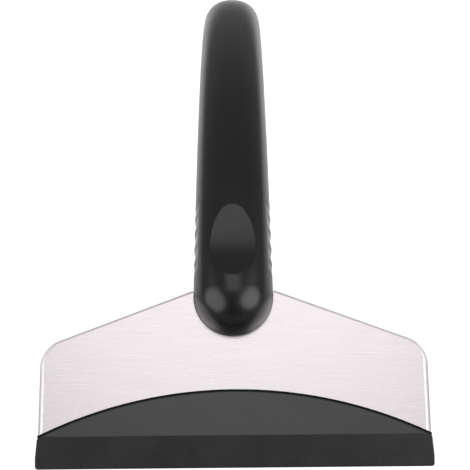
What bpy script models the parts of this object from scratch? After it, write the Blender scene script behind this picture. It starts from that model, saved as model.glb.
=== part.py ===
"""Hand ice scraper: arched hollow grip, stainless head plate with a rolled rim, rubber edge blade.

The tool lies on a table: its edge at -Y and the far end of the grip at +Y both touch z = 0.
Points on the head are given as (x, v, w): v runs up the plate from the edge, w stands square to
the plate. Points on the grip are given by s, the distance along its centre line from the middle
of the nose, with w square to that line.
"""

import math

import bmesh
import bpy
from mathutils import Matrix, Vector

# Driving dimensions of the whole tool, in metres and radians
OBJECT_NAME = "ice_scraper"
HEAD_TILT = math.radians(25.0)
CLEARANCE = 0.0003

# Head plate
PLATE_HALF_WIDTH = 0.0571
PLATE_THICKNESS = 0.0009
PLATE_FOOT = 0.0040
PLATE_FOOT_CHAMFER = 0.0020
PLATE_CORNER_RADIUS = 0.0084
SHOULDER_SLOPE = math.radians(21.0)
SHOULDER_TOP = 0.0537
RIM_BEND_RADIUS = 0.0012
RIM_DEPTH = 0.0028
RIM_FOOT = 0.0095
TANG_HALF_WIDTH = 0.0070
TANG_TOP = 0.0875
TANG_ROUND = 0.0015

# Edge blade
BLADE_FLARE = 0.00045
BLADE_CREASE_INSET = 0.0001
BLADE_CREASE = 0.0089
BLADE_APEX = 0.0226
BLADE_ARC_RISE = 0.0134
BLADE_TOP = 0.0024
BLADE_UNDERSIDE = 0.0019
BLADE_UNDERSIDE_START = 0.0080
BLADE_UNDER_LIP = 0.0170
BLADE_UNDER_LIP_MARGIN = 0.0016
BLADE_TIP_THICKNESS = 0.0006
BLADE_LAND = 0.0012
BLADE_CORNER_RADIUS = 0.0010
BLADE_FLARE_END = 0.0030
PLUG_RADIUS = 0.0017
PLUG_ROW = 0.0130
PLUG_PITCH = 0.0190
PLUG_COUNT = 5

# Grip
NOSE_CENTRE = 0.05125
NOSE_RADIUS = 0.0119
GRIP_END_RADIUS = 0.0099
GRIP_ARC_RADIUS = 0.1454
GRIP_TAPER_POWER = 1.5
GRIP_SQUARENESS = 2.25
GRIP_WALL = 0.0022
SCOOP_RADIUS = 0.048
SCOOP_LOW = 0.0043
SCOOP_HIGH = 0.0262

# Soft pads let into the sides of the grip
PAD_START = 0.0065
PAD_END = 0.0285
PAD_SPREAD = math.radians(30.0)
PAD_THICKNESS = 0.0011
PAD_SINK = 0.0001
RIB_COUNT = 4
RIB_PITCH = 0.00507
RIB_FIRST = 0.0099
RIB_HALF_WIDTH = 0.0015
RIB_HEIGHT = 0.0003
RIB_SPREAD = math.radians(24.0)

# Screws and the posts that take them
TANG_SCREW_ROWS = (0.0620, 0.0790)
GRIP_SCREW_PLACES = (0.0440, 0.0900, 0.1340)
SCREW_SHANK_RADIUS = 0.0013
SCREW_HEAD_RADIUS = 0.0026
SCREW_HEAD_HEIGHT = 0.0018
SCREW_POINT = 0.0015
SCREW_CROWN = 0.6
SCREW_RECESS_WIDTH = 0.0006
SCREW_RECESS_LENGTH = 0.0030
SCREW_RECESS_DEPTH = 0.0008
TANG_SCREW_LENGTH = 0.0075
GRIP_SCREW_LENGTH = 0.0105
TANG_POST_RADIUS = 0.0034
GRIP_POST_RADIUS = 0.0044
SCREW_SEAT_DEPTH = 0.0050

# How finely curved shapes are divided
RING_POINTS = 44
CAVITY_POINTS = 32
GRIP_STEP = 0.0058
CAVITY_STEP = 0.0090
DOME_RINGS = 7
ROUND_STEPS = 24
CORNER_STEPS = 6
BEND_STEPS = 4
TANG_ROUND_STEPS = 4
BLADE_ARC_STEPS = 16
BLADE_CORNER_STEPS = 4
SCREW_STEPS = 20
CROWN_STEPS = 3
PAD_STEPS = 10
RIB_STEPS = 5
POCKET_RINGS = 8
SCOOP_STEPS = 120
SETTLING_ROUNDS = 20
SHARP_ANGLE = math.radians(35.0)
WELD_DISTANCE = 0.00001

# Sizes that follow from the driving dimensions
TIP_Y = -BLADE_TIP_THICKNESS * math.sin(HEAD_TILT)
NOSE_Y = NOSE_CENTRE * math.cos(HEAD_TILT)
NOSE_Z = NOSE_CENTRE * math.sin(HEAD_TILT)


def end_reach(slope):
    """How far the grip's squarish far end reaches down, and back, from its centre at a slope."""
    power = GRIP_SQUARENESS / (GRIP_SQUARENESS - 1)
    total = abs(math.sin(slope)) ** power + abs(math.cos(slope)) ** power
    return GRIP_END_RADIUS * total ** (1 / power)


def resting_slope():
    """Slope of the far end when it just touches the table, settled in a few rounds."""
    slope = -HEAD_TILT
    for _ in range(SETTLING_ROUNDS):
        drop = NOSE_Z - end_reach(slope)
        slope = -math.acos(math.cos(HEAD_TILT) - drop / GRIP_ARC_RADIUS)
    return slope


END_SLOPE = resting_slope()
GRIP_LENGTH = GRIP_ARC_RADIUS * (HEAD_TILT - END_SLOPE)
END_Y = NOSE_Y + GRIP_ARC_RADIUS * (math.sin(HEAD_TILT) - math.sin(END_SLOPE))
MIDDLE_Y = (TIP_Y + END_Y + end_reach(END_SLOPE)) / 2
HALF_SHEET = PLATE_THICKNESS / 2
SLOT_HALF = HALF_SHEET + CLEARANCE
RIM_OUTER_RADIUS = RIM_BEND_RADIUS + HALF_SHEET
BLADE_EDGE_HALF_WIDTH = PLATE_HALF_WIDTH + BLADE_FLARE
BLADE_CREASE_HALF_WIDTH = PLATE_HALF_WIDTH - BLADE_CREASE_INSET
BLADE_UNDER_LIP_HALF_WIDTH = PLATE_HALF_WIDTH - PLATE_THICKNESS - BLADE_UNDER_LIP_MARGIN
BLADE_ARC_RADIUS = (BLADE_CREASE_HALF_WIDTH ** 2 + BLADE_ARC_RISE ** 2) / (2 * BLADE_ARC_RISE)


def plate_point(x, v, w):
    """World point for a place on the head plate."""
    y = v * math.cos(HEAD_TILT) - w * math.sin(HEAD_TILT)
    z = v * math.sin(HEAD_TILT) + w * math.cos(HEAD_TILT)
    return Vector((x, y - MIDDLE_Y, z))


def grip_slope(s):
    """Slope of the grip's centre line: straight through both domes, an arc between them."""
    along = min(max(s, 0.0), GRIP_LENGTH)
    return HEAD_TILT - along / GRIP_ARC_RADIUS


def grip_point(x, s, w):
    """World point for a place on the grip."""
    slope = grip_slope(s)
    y = NOSE_Y + GRIP_ARC_RADIUS * (math.sin(HEAD_TILT) - math.sin(slope))
    z = NOSE_Z + GRIP_ARC_RADIUS * (math.cos(slope) - math.cos(HEAD_TILT))
    beyond = s - min(max(s, 0.0), GRIP_LENGTH)
    y += beyond * math.cos(slope) - w * math.sin(slope)
    z += beyond * math.sin(slope) + w * math.cos(slope)
    return Vector((x, y - MIDDLE_Y, z))


def grip_radius(s):
    """Half width of the grip, full at the nose and slimmer towards the far end."""
    left = 1.0 - min(max(s, 0.0), GRIP_LENGTH) / GRIP_LENGTH
    return GRIP_END_RADIUS + (NOSE_RADIUS - GRIP_END_RADIUS) * left ** GRIP_TAPER_POWER


def signed_power(value, power):
    return math.copysign(abs(value) ** power, value)


def section_point(s, angle, inset):
    """Point on the grip's skin, or inset below it, at an angle up from its +X side."""
    radius = grip_radius(s) - inset
    past = max(-s, s - GRIP_LENGTH, 0.0)
    reach = math.sqrt(max(radius ** 2 - past ** 2, 0.0))
    x = reach * signed_power(math.cos(angle), 2 / GRIP_SQUARENESS)
    filled = min((x * x + past * past) / radius ** 2, 1.0)
    height = radius * (1.0 - filled ** (GRIP_SQUARENESS / 2)) ** (1 / GRIP_SQUARENESS)
    return grip_point(x, s, math.copysign(height, math.sin(angle)))


def collection_named(name):
    group = bpy.data.collections.get(name)
    if group is None:
        group = bpy.data.collections.new(name)
        bpy.context.scene.collection.children.link(group)
    return group


def move_to_collection(obj, name):
    for group in list(obj.users_collection):
        group.objects.unlink(obj)
    collection_named(name).objects.link(obj)


def as_cutter(obj):
    """A cutter stays out of the part: wire only, never rendered."""
    obj.display_type = "WIRE"
    obj.hide_render = True
    move_to_collection(obj, "cutters")


def as_piece(obj, name, material):
    """Name a finished sub-part, give it its material and shade its round faces smooth."""
    obj.name = name
    obj.data.name = name
    obj.data.materials.clear()
    obj.data.materials.append(material)
    obj.data.shade_smooth()
    obj.data.set_sharp_from_angle(angle=SHARP_ANGLE)
    move_to_collection(obj, OBJECT_NAME)
    return obj


def plain_material(name, colour, roughness, metallic):
    material = bpy.data.materials.new(name)
    material.use_nodes = True
    shader = material.node_tree.nodes["Principled BSDF"]
    shader.inputs["Base Color"].default_value = (*colour, 1.0)
    shader.inputs["Roughness"].default_value = roughness
    shader.inputs["Metallic"].default_value = metallic
    material.diffuse_color = (*colour, 1.0)
    return material


def boolean(obj, tool, operation):
    """Keep an exact Boolean on an object, with its tool among the cutters."""
    modifier = obj.modifiers.new(f"{operation.lower()}_{tool.name}", "BOOLEAN")
    modifier.operation = operation
    modifier.solver = "EXACT"
    modifier.object = tool
    as_cutter(tool)


def object_from_bmesh(name, mesh_data):
    mesh = bpy.data.meshes.new(name)
    bmesh.ops.recalc_face_normals(mesh_data, faces=mesh_data.faces)
    mesh_data.to_mesh(mesh)
    mesh_data.free()
    obj = bpy.data.objects.new(name, mesh)
    bpy.context.scene.collection.objects.link(obj)
    return obj


def loft(name, rings):
    """Skin a row of closed rings of equal count and cap both ends."""
    mesh_data = bmesh.new()
    loops = [[mesh_data.verts.new(point) for point in ring] for ring in rings]
    for first, second in zip(loops, loops[1:]):
        for i, corner in enumerate(first):
            after = (i + 1) % len(first)
            mesh_data.faces.new((corner, first[after], second[after], second[i]))
    mesh_data.faces.new(loops[0])
    mesh_data.faces.new(loops[-1])
    return object_from_bmesh(name, mesh_data)


def extruded_outline(name, points, half_thickness, matrix):
    """Flat outline as a filled 2D curve, extruded both ways, then made a closed mesh."""
    curve = bpy.data.curves.new(name, "CURVE")
    curve.dimensions = "2D"
    curve.fill_mode = "BOTH"
    curve.extrude = half_thickness
    spline = curve.splines.new("POLY")
    spline.points.add(len(points) - 1)
    for target, (a, b) in zip(spline.points, points):
        target.co = (a, b, 0.0, 1.0)
    spline.use_cyclic_u = True
    outline = bpy.data.objects.new(name, curve)
    bpy.context.scene.collection.objects.link(outline)
    bpy.context.view_layer.update()
    graph = bpy.context.evaluated_depsgraph_get()
    mesh = bpy.data.meshes.new_from_object(outline.evaluated_get(graph))
    mesh_data = bmesh.new()
    mesh_data.from_mesh(mesh)
    bmesh.ops.remove_doubles(mesh_data, verts=mesh_data.verts, dist=WELD_DISTANCE)
    bmesh.ops.recalc_face_normals(mesh_data, faces=mesh_data.faces)
    mesh_data.to_mesh(mesh)
    mesh_data.free()
    bpy.data.objects.remove(outline)
    obj = bpy.data.objects.new(name, mesh)
    obj.matrix_world = matrix
    bpy.context.scene.collection.objects.link(obj)
    return obj


def plan_matrix():
    """Outline drawn in (x, v), thickness along w."""
    return Matrix.Translation(plate_point(0, 0, 0)) @ Matrix.Rotation(HEAD_TILT, 4, "X")


def side_matrix():
    """Outline drawn in world (y, z), thickness along x."""
    return Matrix(((0, 0, 1), (1, 0, 0), (0, 1, 0))).to_4x4()


def profile_matrix():
    """Outline drawn in (v, w), thickness along x."""
    return plan_matrix() @ side_matrix()


def arc_points(centre, radius, start, end, steps):
    """Points on an arc from one angle to another, both ends included."""
    points = []
    for i in range(steps + 1):
        angle = start + (end - start) * i / steps
        points.append((centre[0] + radius * math.cos(angle), centre[1] + radius * math.sin(angle)))
    return points


def mirrored(points):
    """Close a right-hand outline with its mirror image across x = 0."""
    return points + [(-x, v) for x, v in reversed(points) if x > CLEARANCE]


def cylinder(name, radius, centre, slope, depth):
    """Cylinder whose axis stands square to a line of the given slope."""
    bpy.ops.mesh.primitive_cylinder_add(
        vertices=ROUND_STEPS, radius=radius, depth=depth, location=centre, rotation=(slope, 0, 0))
    obj = bpy.context.object
    obj.name = name
    return obj


def box_on_plate(name, x_range, v_range, w_range):
    """Box set square to the head plate."""
    low = Vector((x_range[0], v_range[0], w_range[0]))
    high = Vector((x_range[1], v_range[1], w_range[1]))
    middle = (low + high) / 2
    bpy.ops.mesh.primitive_cube_add(
        size=1.0, location=plate_point(*middle), rotation=(HEAD_TILT, 0, 0), scale=high - low)
    bpy.ops.object.transform_apply(location=False, rotation=False, scale=True)
    obj = bpy.context.object
    obj.name = name
    return obj


def station_list(inset, step):
    """Places along the grip for its rings: close together in the domes, even along the arc."""
    turns = [(k + 0.5) / DOME_RINGS * math.pi / 2 for k in range(DOME_RINGS)]
    nose = NOSE_RADIUS - inset
    end = GRIP_END_RADIUS - inset
    arc_count = round(GRIP_LENGTH / step)
    places = [-nose * math.cos(turn) for turn in turns]
    places += [GRIP_LENGTH * k / arc_count for k in range(arc_count + 1)]
    places += [GRIP_LENGTH + end * math.cos(turn) for turn in reversed(turns)]
    return places


def grip_body(name, inset, points, step):
    """The grip's outer form, or its hollow when inset by the wall."""
    rings = []
    for s in station_list(inset, step):
        ring = [section_point(s, 2 * math.pi * k / points, inset) for k in range(points)]
        rings.append(ring)
    return loft(name, rings)


def scoop_cutter(name, extra):
    """Cylinder across the tool that sinks the thumb rest into the top of the neck."""
    low = grip_point(0, SCOOP_LOW, grip_radius(SCOOP_LOW))
    high = grip_point(0, SCOOP_HIGH, grip_radius(SCOOP_HIGH))
    chord = high - low
    rise = math.sqrt(SCOOP_RADIUS ** 2 - (chord.length / 2) ** 2)
    up = Vector((0, -chord.z, chord.y)).normalized()
    centre = (low + high) / 2 + up * rise
    bpy.ops.mesh.primitive_cylinder_add(
        vertices=SCOOP_STEPS, radius=SCOOP_RADIUS + extra, depth=4 * NOSE_RADIUS,
        location=centre, rotation=(0, math.pi / 2, 0))
    obj = bpy.context.object
    obj.name = name
    return obj


def half_space(name, side):
    """Everything above (+1) or below (-1) the grip's parting line, half the gap left out."""
    reach = 3 * NOSE_RADIUS
    count = round(GRIP_LENGTH / GRIP_STEP)
    places = [GRIP_LENGTH * (k + 0.5) / count for k in range(count)]
    places = [-reach] + places + [GRIP_LENGTH + reach]
    line = [grip_point(0, s, -side * CLEARANCE / 2) for s in places]
    outer = [grip_point(0, s, side * reach) for s in (places[-1], places[0])]
    outer.insert(1, grip_point(0, GRIP_LENGTH / 2, side * reach * 2))
    points = [(point.y, point.z) for point in line + outer]
    return extruded_outline(name, points, 2 * NOSE_RADIUS, side_matrix())


def pad_strip(s, spread, inner, outer_at, steps):
    """One closed ring of a pad: out along its skin and back along its bed."""
    angles = [spread * (2 * k / steps - 1) for k in range(steps + 1)]
    skin = [section_point(s, angle, outer_at(s, angle)) for angle in angles]
    bed = [section_point(s, angle, inner) for angle in reversed(angles)]
    return skin + bed


def rib_rise(s, angle):
    """Height of the raised ribs at a place on the pad."""
    if abs(angle) >= RIB_SPREAD:
        return 0.0
    rise = 0.0
    for k in range(RIB_COUNT):
        off = abs(s - RIB_FIRST - k * RIB_PITCH) / RIB_HALF_WIDTH
        if off < 1.0:
            rise = RIB_HEIGHT * math.cos(off * math.pi / 2)
    return rise * math.cos(angle / RIB_SPREAD * math.pi / 2) ** 0.5


def pad_places():
    """Rings of a pad: its two ends and a row across each rib."""
    places = [PAD_START, PAD_END]
    for k in range(RIB_COUNT):
        low = RIB_FIRST + k * RIB_PITCH - RIB_HALF_WIDTH
        places += [low + 2 * RIB_HALF_WIDTH * i / RIB_STEPS for i in range(RIB_STEPS + 1)]
    return sorted(places)


def mirror_across(obj):
    """Turn a +X piece into its -X twin, faces still pointing out."""
    for vertex in obj.data.vertices:
        vertex.co.x = -vertex.co.x
    obj.data.flip_normals()


def grip_pad(name, side, material):
    """Soft side pad with raised ribs, seated in a pocket that both shells share."""
    def skin(s, angle):
        return PAD_SINK - rib_rise(s, angle)
    rings = [pad_strip(s, PAD_SPREAD, PAD_THICKNESS, skin, PAD_STEPS) for s in pad_places()]
    pad = loft(name, rings)
    if side < 0:
        mirror_across(pad)
    return as_piece(pad, name, material)


def pad_pocket(name, side):
    """Room for a pad, open through the skin of the grip."""
    def skin(s, angle):
        return -PAD_THICKNESS
    spread = PAD_SPREAD + CLEARANCE / NOSE_RADIUS
    count = POCKET_RINGS
    start = PAD_START - CLEARANCE
    length = PAD_END + CLEARANCE - start
    places = [start + length * k / count for k in range(count + 1)]
    rings = [pad_strip(s, spread, PAD_THICKNESS + CLEARANCE, skin, PAD_STEPS) for s in places]
    pocket = loft(name, rings)
    if side < 0:
        mirror_across(pocket)
    return pocket


def plate_slot(name):
    """Room between the shells for the plate where it enters the nose."""
    across = (-2 * NOSE_RADIUS, 2 * NOSE_RADIUS)
    along = (NOSE_CENTRE - 2 * NOSE_RADIUS, SHOULDER_TOP + CLEARANCE)
    return box_on_plate(name, across, along, (-SLOT_HALF, SLOT_HALF))


def screw_posts(name):
    """Posts left standing in the hollow: across it for the grip screws, above the tang for its own."""
    posts = []
    length = 2 * NOSE_RADIUS
    for k, s in enumerate(GRIP_SCREW_PLACES):
        middle = grip_point(0, s, 0)
        posts.append(cylinder(f"{name}_grip_post_{k + 1}", GRIP_POST_RADIUS, middle, grip_slope(s), length))
    for k, v in enumerate(TANG_SCREW_ROWS):
        middle = plate_point(0, v, SLOT_HALF + length / 2)
        posts.append(cylinder(f"{name}_tang_post_{k + 1}", TANG_POST_RADIUS, middle, HEAD_TILT, length))
    return posts


def hollow_grip(name):
    """Outer form less its hollow, with the thumb rest sunk in and a full wall left under it."""
    shell = grip_body(name, 0.0, RING_POINTS, GRIP_STEP)
    cavity = grip_body(f"{name}_hollow", GRIP_WALL, CAVITY_POINTS, CAVITY_STEP)
    boolean(cavity, scoop_cutter(f"{name}_hollow_limit", GRIP_WALL), "DIFFERENCE")
    for post in screw_posts(name):
        boolean(cavity, post, "DIFFERENCE")
    boolean(shell, cavity, "DIFFERENCE")
    boolean(shell, scoop_cutter(f"{name}_thumb_rest", 0.0), "DIFFERENCE")
    return shell


def cut_shared_room(shell, name):
    """Cut what both shells leave for the plate and the side pads."""
    boolean(shell, plate_slot(f"{name}_plate_slot"), "DIFFERENCE")
    for side, word in ((1, "right"), (-1, "left")):
        boolean(shell, pad_pocket(f"{name}_{word}_pocket", side), "DIFFERENCE")


def upper_grip_shell(material):
    """Top half of the grip, its posts drilled with a blind hole for each screw."""
    name = "upper_grip_shell"
    shell = hollow_grip(name)
    boolean(shell, half_space(f"{name}_parting", -1), "DIFFERENCE")
    pilot = SCREW_SHANK_RADIUS + CLEARANCE / 2
    for k, v in enumerate(TANG_SCREW_ROWS):
        reach = 2 * (TANG_SCREW_LENGTH + CLEARANCE)
        hole = cylinder(f"tang_pilot_{k + 1}", pilot, plate_point(0, v, 0), HEAD_TILT, reach)
        boolean(shell, hole, "DIFFERENCE")
    for k, s in enumerate(GRIP_SCREW_PLACES):
        reach = 2 * (GRIP_SCREW_LENGTH - SCREW_SEAT_DEPTH + CLEARANCE)
        hole = cylinder(f"grip_pilot_{k + 1}", pilot, grip_point(0, s, 0), grip_slope(s), reach)
        boolean(shell, hole, "DIFFERENCE")
    cut_shared_room(shell, name)
    return as_piece(shell, name, material)


def lower_grip_shell(material):
    """Bottom half of the grip, with a counterbored hole up through each of its posts."""
    name = "lower_grip_shell"
    shell = hollow_grip(name)
    boolean(shell, half_space(f"{name}_parting", 1), "DIFFERENCE")
    for k, s in enumerate(GRIP_SCREW_PLACES):
        clear = SCREW_SHANK_RADIUS + CLEARANCE
        hole = cylinder(f"grip_hole_{k + 1}", clear, grip_point(0, s, 0), grip_slope(s), 4 * NOSE_RADIUS)
        boolean(shell, hole, "DIFFERENCE")
        mouth = -2 * NOSE_RADIUS
        middle = grip_point(0, s, (mouth - SCREW_SEAT_DEPTH) / 2)
        wide = SCREW_HEAD_RADIUS + CLEARANCE
        depth = -SCREW_SEAT_DEPTH - mouth
        bore = cylinder(f"grip_counterbore_{k + 1}", wide, middle, grip_slope(s), depth)
        boolean(shell, bore, "DIFFERENCE")
    cut_shared_room(shell, name)
    return as_piece(shell, name, material)


def shoulder_line(x, inset):
    """Height v of the sloping shoulder at x, moved in square to itself by inset."""
    fall = (x - NOSE_RADIUS) * math.tan(SHOULDER_SLOPE)
    return SHOULDER_TOP - fall - inset / math.cos(SHOULDER_SLOPE)


def rim_path():
    """Where the rim starts to bend, from the blade to the grip: x, v and the way out, right half."""
    inset = RIM_OUTER_RADIUS
    side = PLATE_HALF_WIDTH - inset
    radius = PLATE_CORNER_RADIUS - inset
    corner_x = side - radius
    turn = math.pi / 2 - SHOULDER_SLOPE
    corner_v = shoulder_line(corner_x, inset) - radius / math.cos(SHOULDER_SLOPE)
    path = [(side, RIM_FOOT, 1.0, 0.0)]
    for k in range(CORNER_STEPS + 1):
        angle = turn * k / CORNER_STEPS
        out = (math.cos(angle), math.sin(angle))
        path.append((corner_x + radius * out[0], corner_v + radius * out[1], *out))
    inner = NOSE_RADIUS + CLEARANCE
    path.append((inner, shoulder_line(inner, inset), 0.0, 1 / math.cos(SHOULDER_SLOPE)))
    return path


def foot_corner():
    """Chamfered corner of the sheet inside the blade's slot."""
    side = PLATE_HALF_WIDTH - RIM_OUTER_RADIUS
    return [(side - PLATE_FOOT_CHAMFER, PLATE_FOOT), (side, PLATE_FOOT + PLATE_FOOT_CHAMFER)]


def tang_outline(root_v):
    """Right side of the tang, rounded at its root and its tip."""
    radius = TANG_ROUND
    root = (TANG_HALF_WIDTH + radius, root_v + radius)
    tip = (TANG_HALF_WIDTH - radius, TANG_TOP - radius)
    points = arc_points(root, radius, -math.pi / 2, -math.pi, TANG_ROUND_STEPS)
    return points + arc_points(tip, radius, 0.0, math.pi / 2, TANG_ROUND_STEPS)


def rim_steps():
    """Outward shift and drop of the sheet round the bend and down the rim."""
    steps = []
    for k in range(1, BEND_STEPS + 1):
        angle = math.pi / 2 * k / BEND_STEPS
        steps.append((RIM_BEND_RADIUS * math.sin(angle), RIM_BEND_RADIUS * (1 - math.cos(angle))))
    steps.append((RIM_BEND_RADIUS, RIM_DEPTH))
    return steps


def half_sheet():
    """Right half of the sheet as an open surface: its flat, and the rim bent down from it."""
    path = rim_path()
    mesh_data = bmesh.new()
    foot = [mesh_data.verts.new((x, v, 0)) for x, v in [(0, PLATE_FOOT)] + foot_corner()]
    row = [mesh_data.verts.new((x, v, 0)) for x, v, _, _ in path]
    tang = [mesh_data.verts.new((x, v, 0)) for x, v in tang_outline(path[-1][1]) + [(0, TANG_TOP)]]
    mesh_data.faces.new(foot + row + tang)
    for out, drop in rim_steps():
        after = [mesh_data.verts.new((x + out * to_x, v + out * to_v, -drop)) for x, v, to_x, to_v in path]
        for i in range(len(path) - 1):
            mesh_data.faces.new((row[i], after[i], after[i + 1], row[i + 1]))
        row = after
    return object_from_bmesh("head_plate", mesh_data)


def head_plate(material):
    """Stainless head: half a sheet mirrored, given its thickness, then drilled."""
    plate = half_sheet()
    plate.matrix_world = plan_matrix()
    other_half = plate.modifiers.new("other_half", "MIRROR")
    other_half.merge_threshold = WELD_DISTANCE
    sheet = plate.modifiers.new("sheet", "SOLIDIFY")
    sheet.thickness = PLATE_THICKNESS
    sheet.offset = 0.0
    sheet.use_even_offset = True
    depth = 4 * SLOT_HALF
    for k, x in enumerate(plug_places()):
        place = plate_point(x, PLUG_ROW, 0)
        hole = cylinder(f"plug_hole_{k + 1}", PLUG_RADIUS + CLEARANCE, place, HEAD_TILT, depth)
        boolean(plate, hole, "DIFFERENCE")
    for k, v in enumerate(TANG_SCREW_ROWS):
        place = plate_point(0, v, 0)
        hole = cylinder(f"tang_hole_{k + 1}", SCREW_SHANK_RADIUS + CLEARANCE, place, HEAD_TILT, depth)
        boolean(plate, hole, "DIFFERENCE")
    return as_piece(plate, "head_plate", material)


def plug_places():
    return [(k - (PLUG_COUNT - 1) / 2) * PLUG_PITCH for k in range(PLUG_COUNT)]


def on_profile(y, z):
    """Place (v, w) on the blade's cross section for a world height and distance from its foot."""
    v = y * math.cos(HEAD_TILT) + z * math.sin(HEAD_TILT)
    w = z * math.cos(HEAD_TILT) - y * math.sin(HEAD_TILT)
    return (v, w)


def blade_section():
    """Edge blade cut square across, in (v, w): wedge, flat top, slot for the sheet, under lip."""
    slot_foot = PLATE_FOOT - CLEARANCE
    beyond = BLADE_APEX + PLATE_FOOT
    return [
        (0.0, BLADE_TIP_THICKNESS),
        (BLADE_CREASE, BLADE_TOP),
        (beyond, BLADE_TOP),
        (beyond, SLOT_HALF),
        (slot_foot, SLOT_HALF),
        (slot_foot, -SLOT_HALF),
        (BLADE_UNDER_LIP, -SLOT_HALF),
        (BLADE_UNDER_LIP, -BLADE_UNDERSIDE),
        (BLADE_UNDERSIDE_START, -BLADE_UNDERSIDE),
        on_profile(TIP_Y + BLADE_LAND, 0.0),
        on_profile(TIP_Y, 0.0),
    ]


def blade_plan():
    """Edge blade seen square to the plate: rounded foot, flared ends, long arc on top."""
    lowest = on_profile(TIP_Y, 0.0)[0] - CLEARANCE / 3
    corner = (BLADE_EDGE_HALF_WIDTH - BLADE_CORNER_RADIUS, lowest + BLADE_CORNER_RADIUS)
    points = arc_points(corner, BLADE_CORNER_RADIUS, -math.pi / 2, 0.0, BLADE_CORNER_STEPS)
    points.append((BLADE_EDGE_HALF_WIDTH, BLADE_FLARE_END))
    points.append((BLADE_CREASE_HALF_WIDTH, BLADE_CREASE))
    centre = (0.0, BLADE_APEX - BLADE_ARC_RADIUS)
    start = math.acos(BLADE_CREASE_HALF_WIDTH / BLADE_ARC_RADIUS)
    points += arc_points(centre, BLADE_ARC_RADIUS, start, math.pi / 2, BLADE_ARC_STEPS)
    return mirrored(points)


def edge_blade(material):
    """Rubber edge that takes the plate's foot in a slot and grips it with plugs through its holes."""
    half = BLADE_EDGE_HALF_WIDTH + CLEARANCE
    blade = extruded_outline("edge_blade", blade_section(), half, profile_matrix())
    plan = extruded_outline("blade_plan", blade_plan(), BLADE_APEX, plan_matrix())
    boolean(blade, plan, "INTERSECT")
    for side, word in ((1, "right"), (-1, "left")):
        across = sorted((side * BLADE_UNDER_LIP_HALF_WIDTH, side * 2 * BLADE_EDGE_HALF_WIDTH))
        along = (RIM_FOOT - CLEARANCE, BLADE_APEX)
        room = box_on_plate(f"rim_room_{word}", across, along, (-BLADE_APEX, SLOT_HALF))
        boolean(blade, room, "DIFFERENCE")
    for k, x in enumerate(plug_places()):
        length = 2 * SLOT_HALF + CLEARANCE
        plug = cylinder(f"plug_{k + 1}", PLUG_RADIUS, plate_point(x, PLUG_ROW, 0), HEAD_TILT, length)
        boolean(blade, plug, "UNION")
    return as_piece(blade, "edge_blade", material)


def screw_profile(length):
    """Half outline of a pan-head screw, from its point round the head to the top of the head."""
    shank = SCREW_SHANK_RADIUS
    profile = [(0.0, length), (shank, length - SCREW_POINT), (shank, 0.0), (SCREW_HEAD_RADIUS, 0.0)]
    crown = SCREW_HEAD_RADIUS * SCREW_CROWN
    edge = SCREW_HEAD_HEIGHT * (1 - SCREW_CROWN)
    for k in range(CROWN_STEPS + 1):
        angle = math.pi / 2 * k / CROWN_STEPS
        r = SCREW_HEAD_RADIUS - crown * (1 - math.cos(angle))
        profile.append((r, -edge - (SCREW_HEAD_HEIGHT - edge) * math.sin(angle)))
    return profile + [(0.0, -SCREW_HEAD_HEIGHT)]


def screw(name, place, slope, length, material):
    """Pan-head screw turned from its profile, with a cross recess, its head seated at the place."""
    profile = screw_profile(length)
    edges = [(i, i + 1) for i in range(len(profile) - 1)]
    mesh = bpy.data.meshes.new(name)
    mesh.from_pydata([(r, 0, z) for r, z in profile], edges, [])
    obj = bpy.data.objects.new(name, mesh)
    bpy.context.scene.collection.objects.link(obj)
    turned = obj.modifiers.new("turned", "SCREW")
    turned.axis = "Z"
    turned.steps = SCREW_STEPS
    turned.render_steps = SCREW_STEPS
    turned.use_merge_vertices = True
    turned.merge_threshold = WELD_DISTANCE
    recess = (SCREW_RECESS_LENGTH, SCREW_RECESS_WIDTH, 2 * SCREW_RECESS_DEPTH)
    top = (0, 0, -SCREW_HEAD_HEIGHT)
    for word, turn in (("first", 0.0), ("second", math.pi / 2)):
        bpy.ops.mesh.primitive_cube_add(size=1.0, location=top, scale=recess, rotation=(0, 0, turn))
        slot = bpy.context.object
        slot.name = f"{name}_{word}_slot"
        slot.parent = obj
        boolean(obj, slot, "DIFFERENCE")
    obj.location = place
    obj.rotation_euler = (slope, 0, 0)
    return as_piece(obj, name, material)


def clear_scene():
    for obj in list(bpy.data.objects):
        bpy.data.objects.remove(obj)


def build():
    clear_scene()
    grip_black = plain_material("grip_black", (0.016, 0.016, 0.017), 0.30, 0.0)
    pad_black = plain_material("pad_black", (0.020, 0.020, 0.021), 0.55, 0.0)
    brushed_steel = plain_material("brushed_steel", (0.78, 0.76, 0.77), 0.34, 1.0)
    blade_rubber = plain_material("blade_rubber", (0.045, 0.045, 0.046), 0.60, 0.0)
    screw_steel = plain_material("screw_steel", (0.62, 0.62, 0.64), 0.30, 1.0)
    upper_grip_shell(grip_black)
    lower_grip_shell(grip_black)
    grip_pad("right_grip_pad", 1, pad_black)
    grip_pad("left_grip_pad", -1, pad_black)
    head_plate(brushed_steel)
    edge_blade(blade_rubber)
    for k, v in enumerate(TANG_SCREW_ROWS):
        seat = plate_point(0, v, -HALF_SHEET - CLEARANCE / 2)
        screw(f"tang_screw_{k + 1}", seat, HEAD_TILT, TANG_SCREW_LENGTH, screw_steel)
    for k, s in enumerate(GRIP_SCREW_PLACES):
        seat = grip_point(0, s, -SCREW_SEAT_DEPTH - CLEARANCE / 2)
        screw(f"grip_screw_{k + 1}", seat, grip_slope(s), GRIP_SCREW_LENGTH, screw_steel)


build()
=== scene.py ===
"""Looks of a hand ice scraper: moulded grip, soft side pads, brushed steel head, rubber edge.

Laid out as an add-on and run as a script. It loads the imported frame, models the fine pieces that
stand for its nodes, gives every surface its finish and sets up the stage.

Points on the head are given as (x, v, w): v runs up the plate from the edge, w stands square to
the plate. Points on the grip are given by s, the distance along its centre line from the middle
of the nose, with w square to that line.
"""

import math

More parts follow.
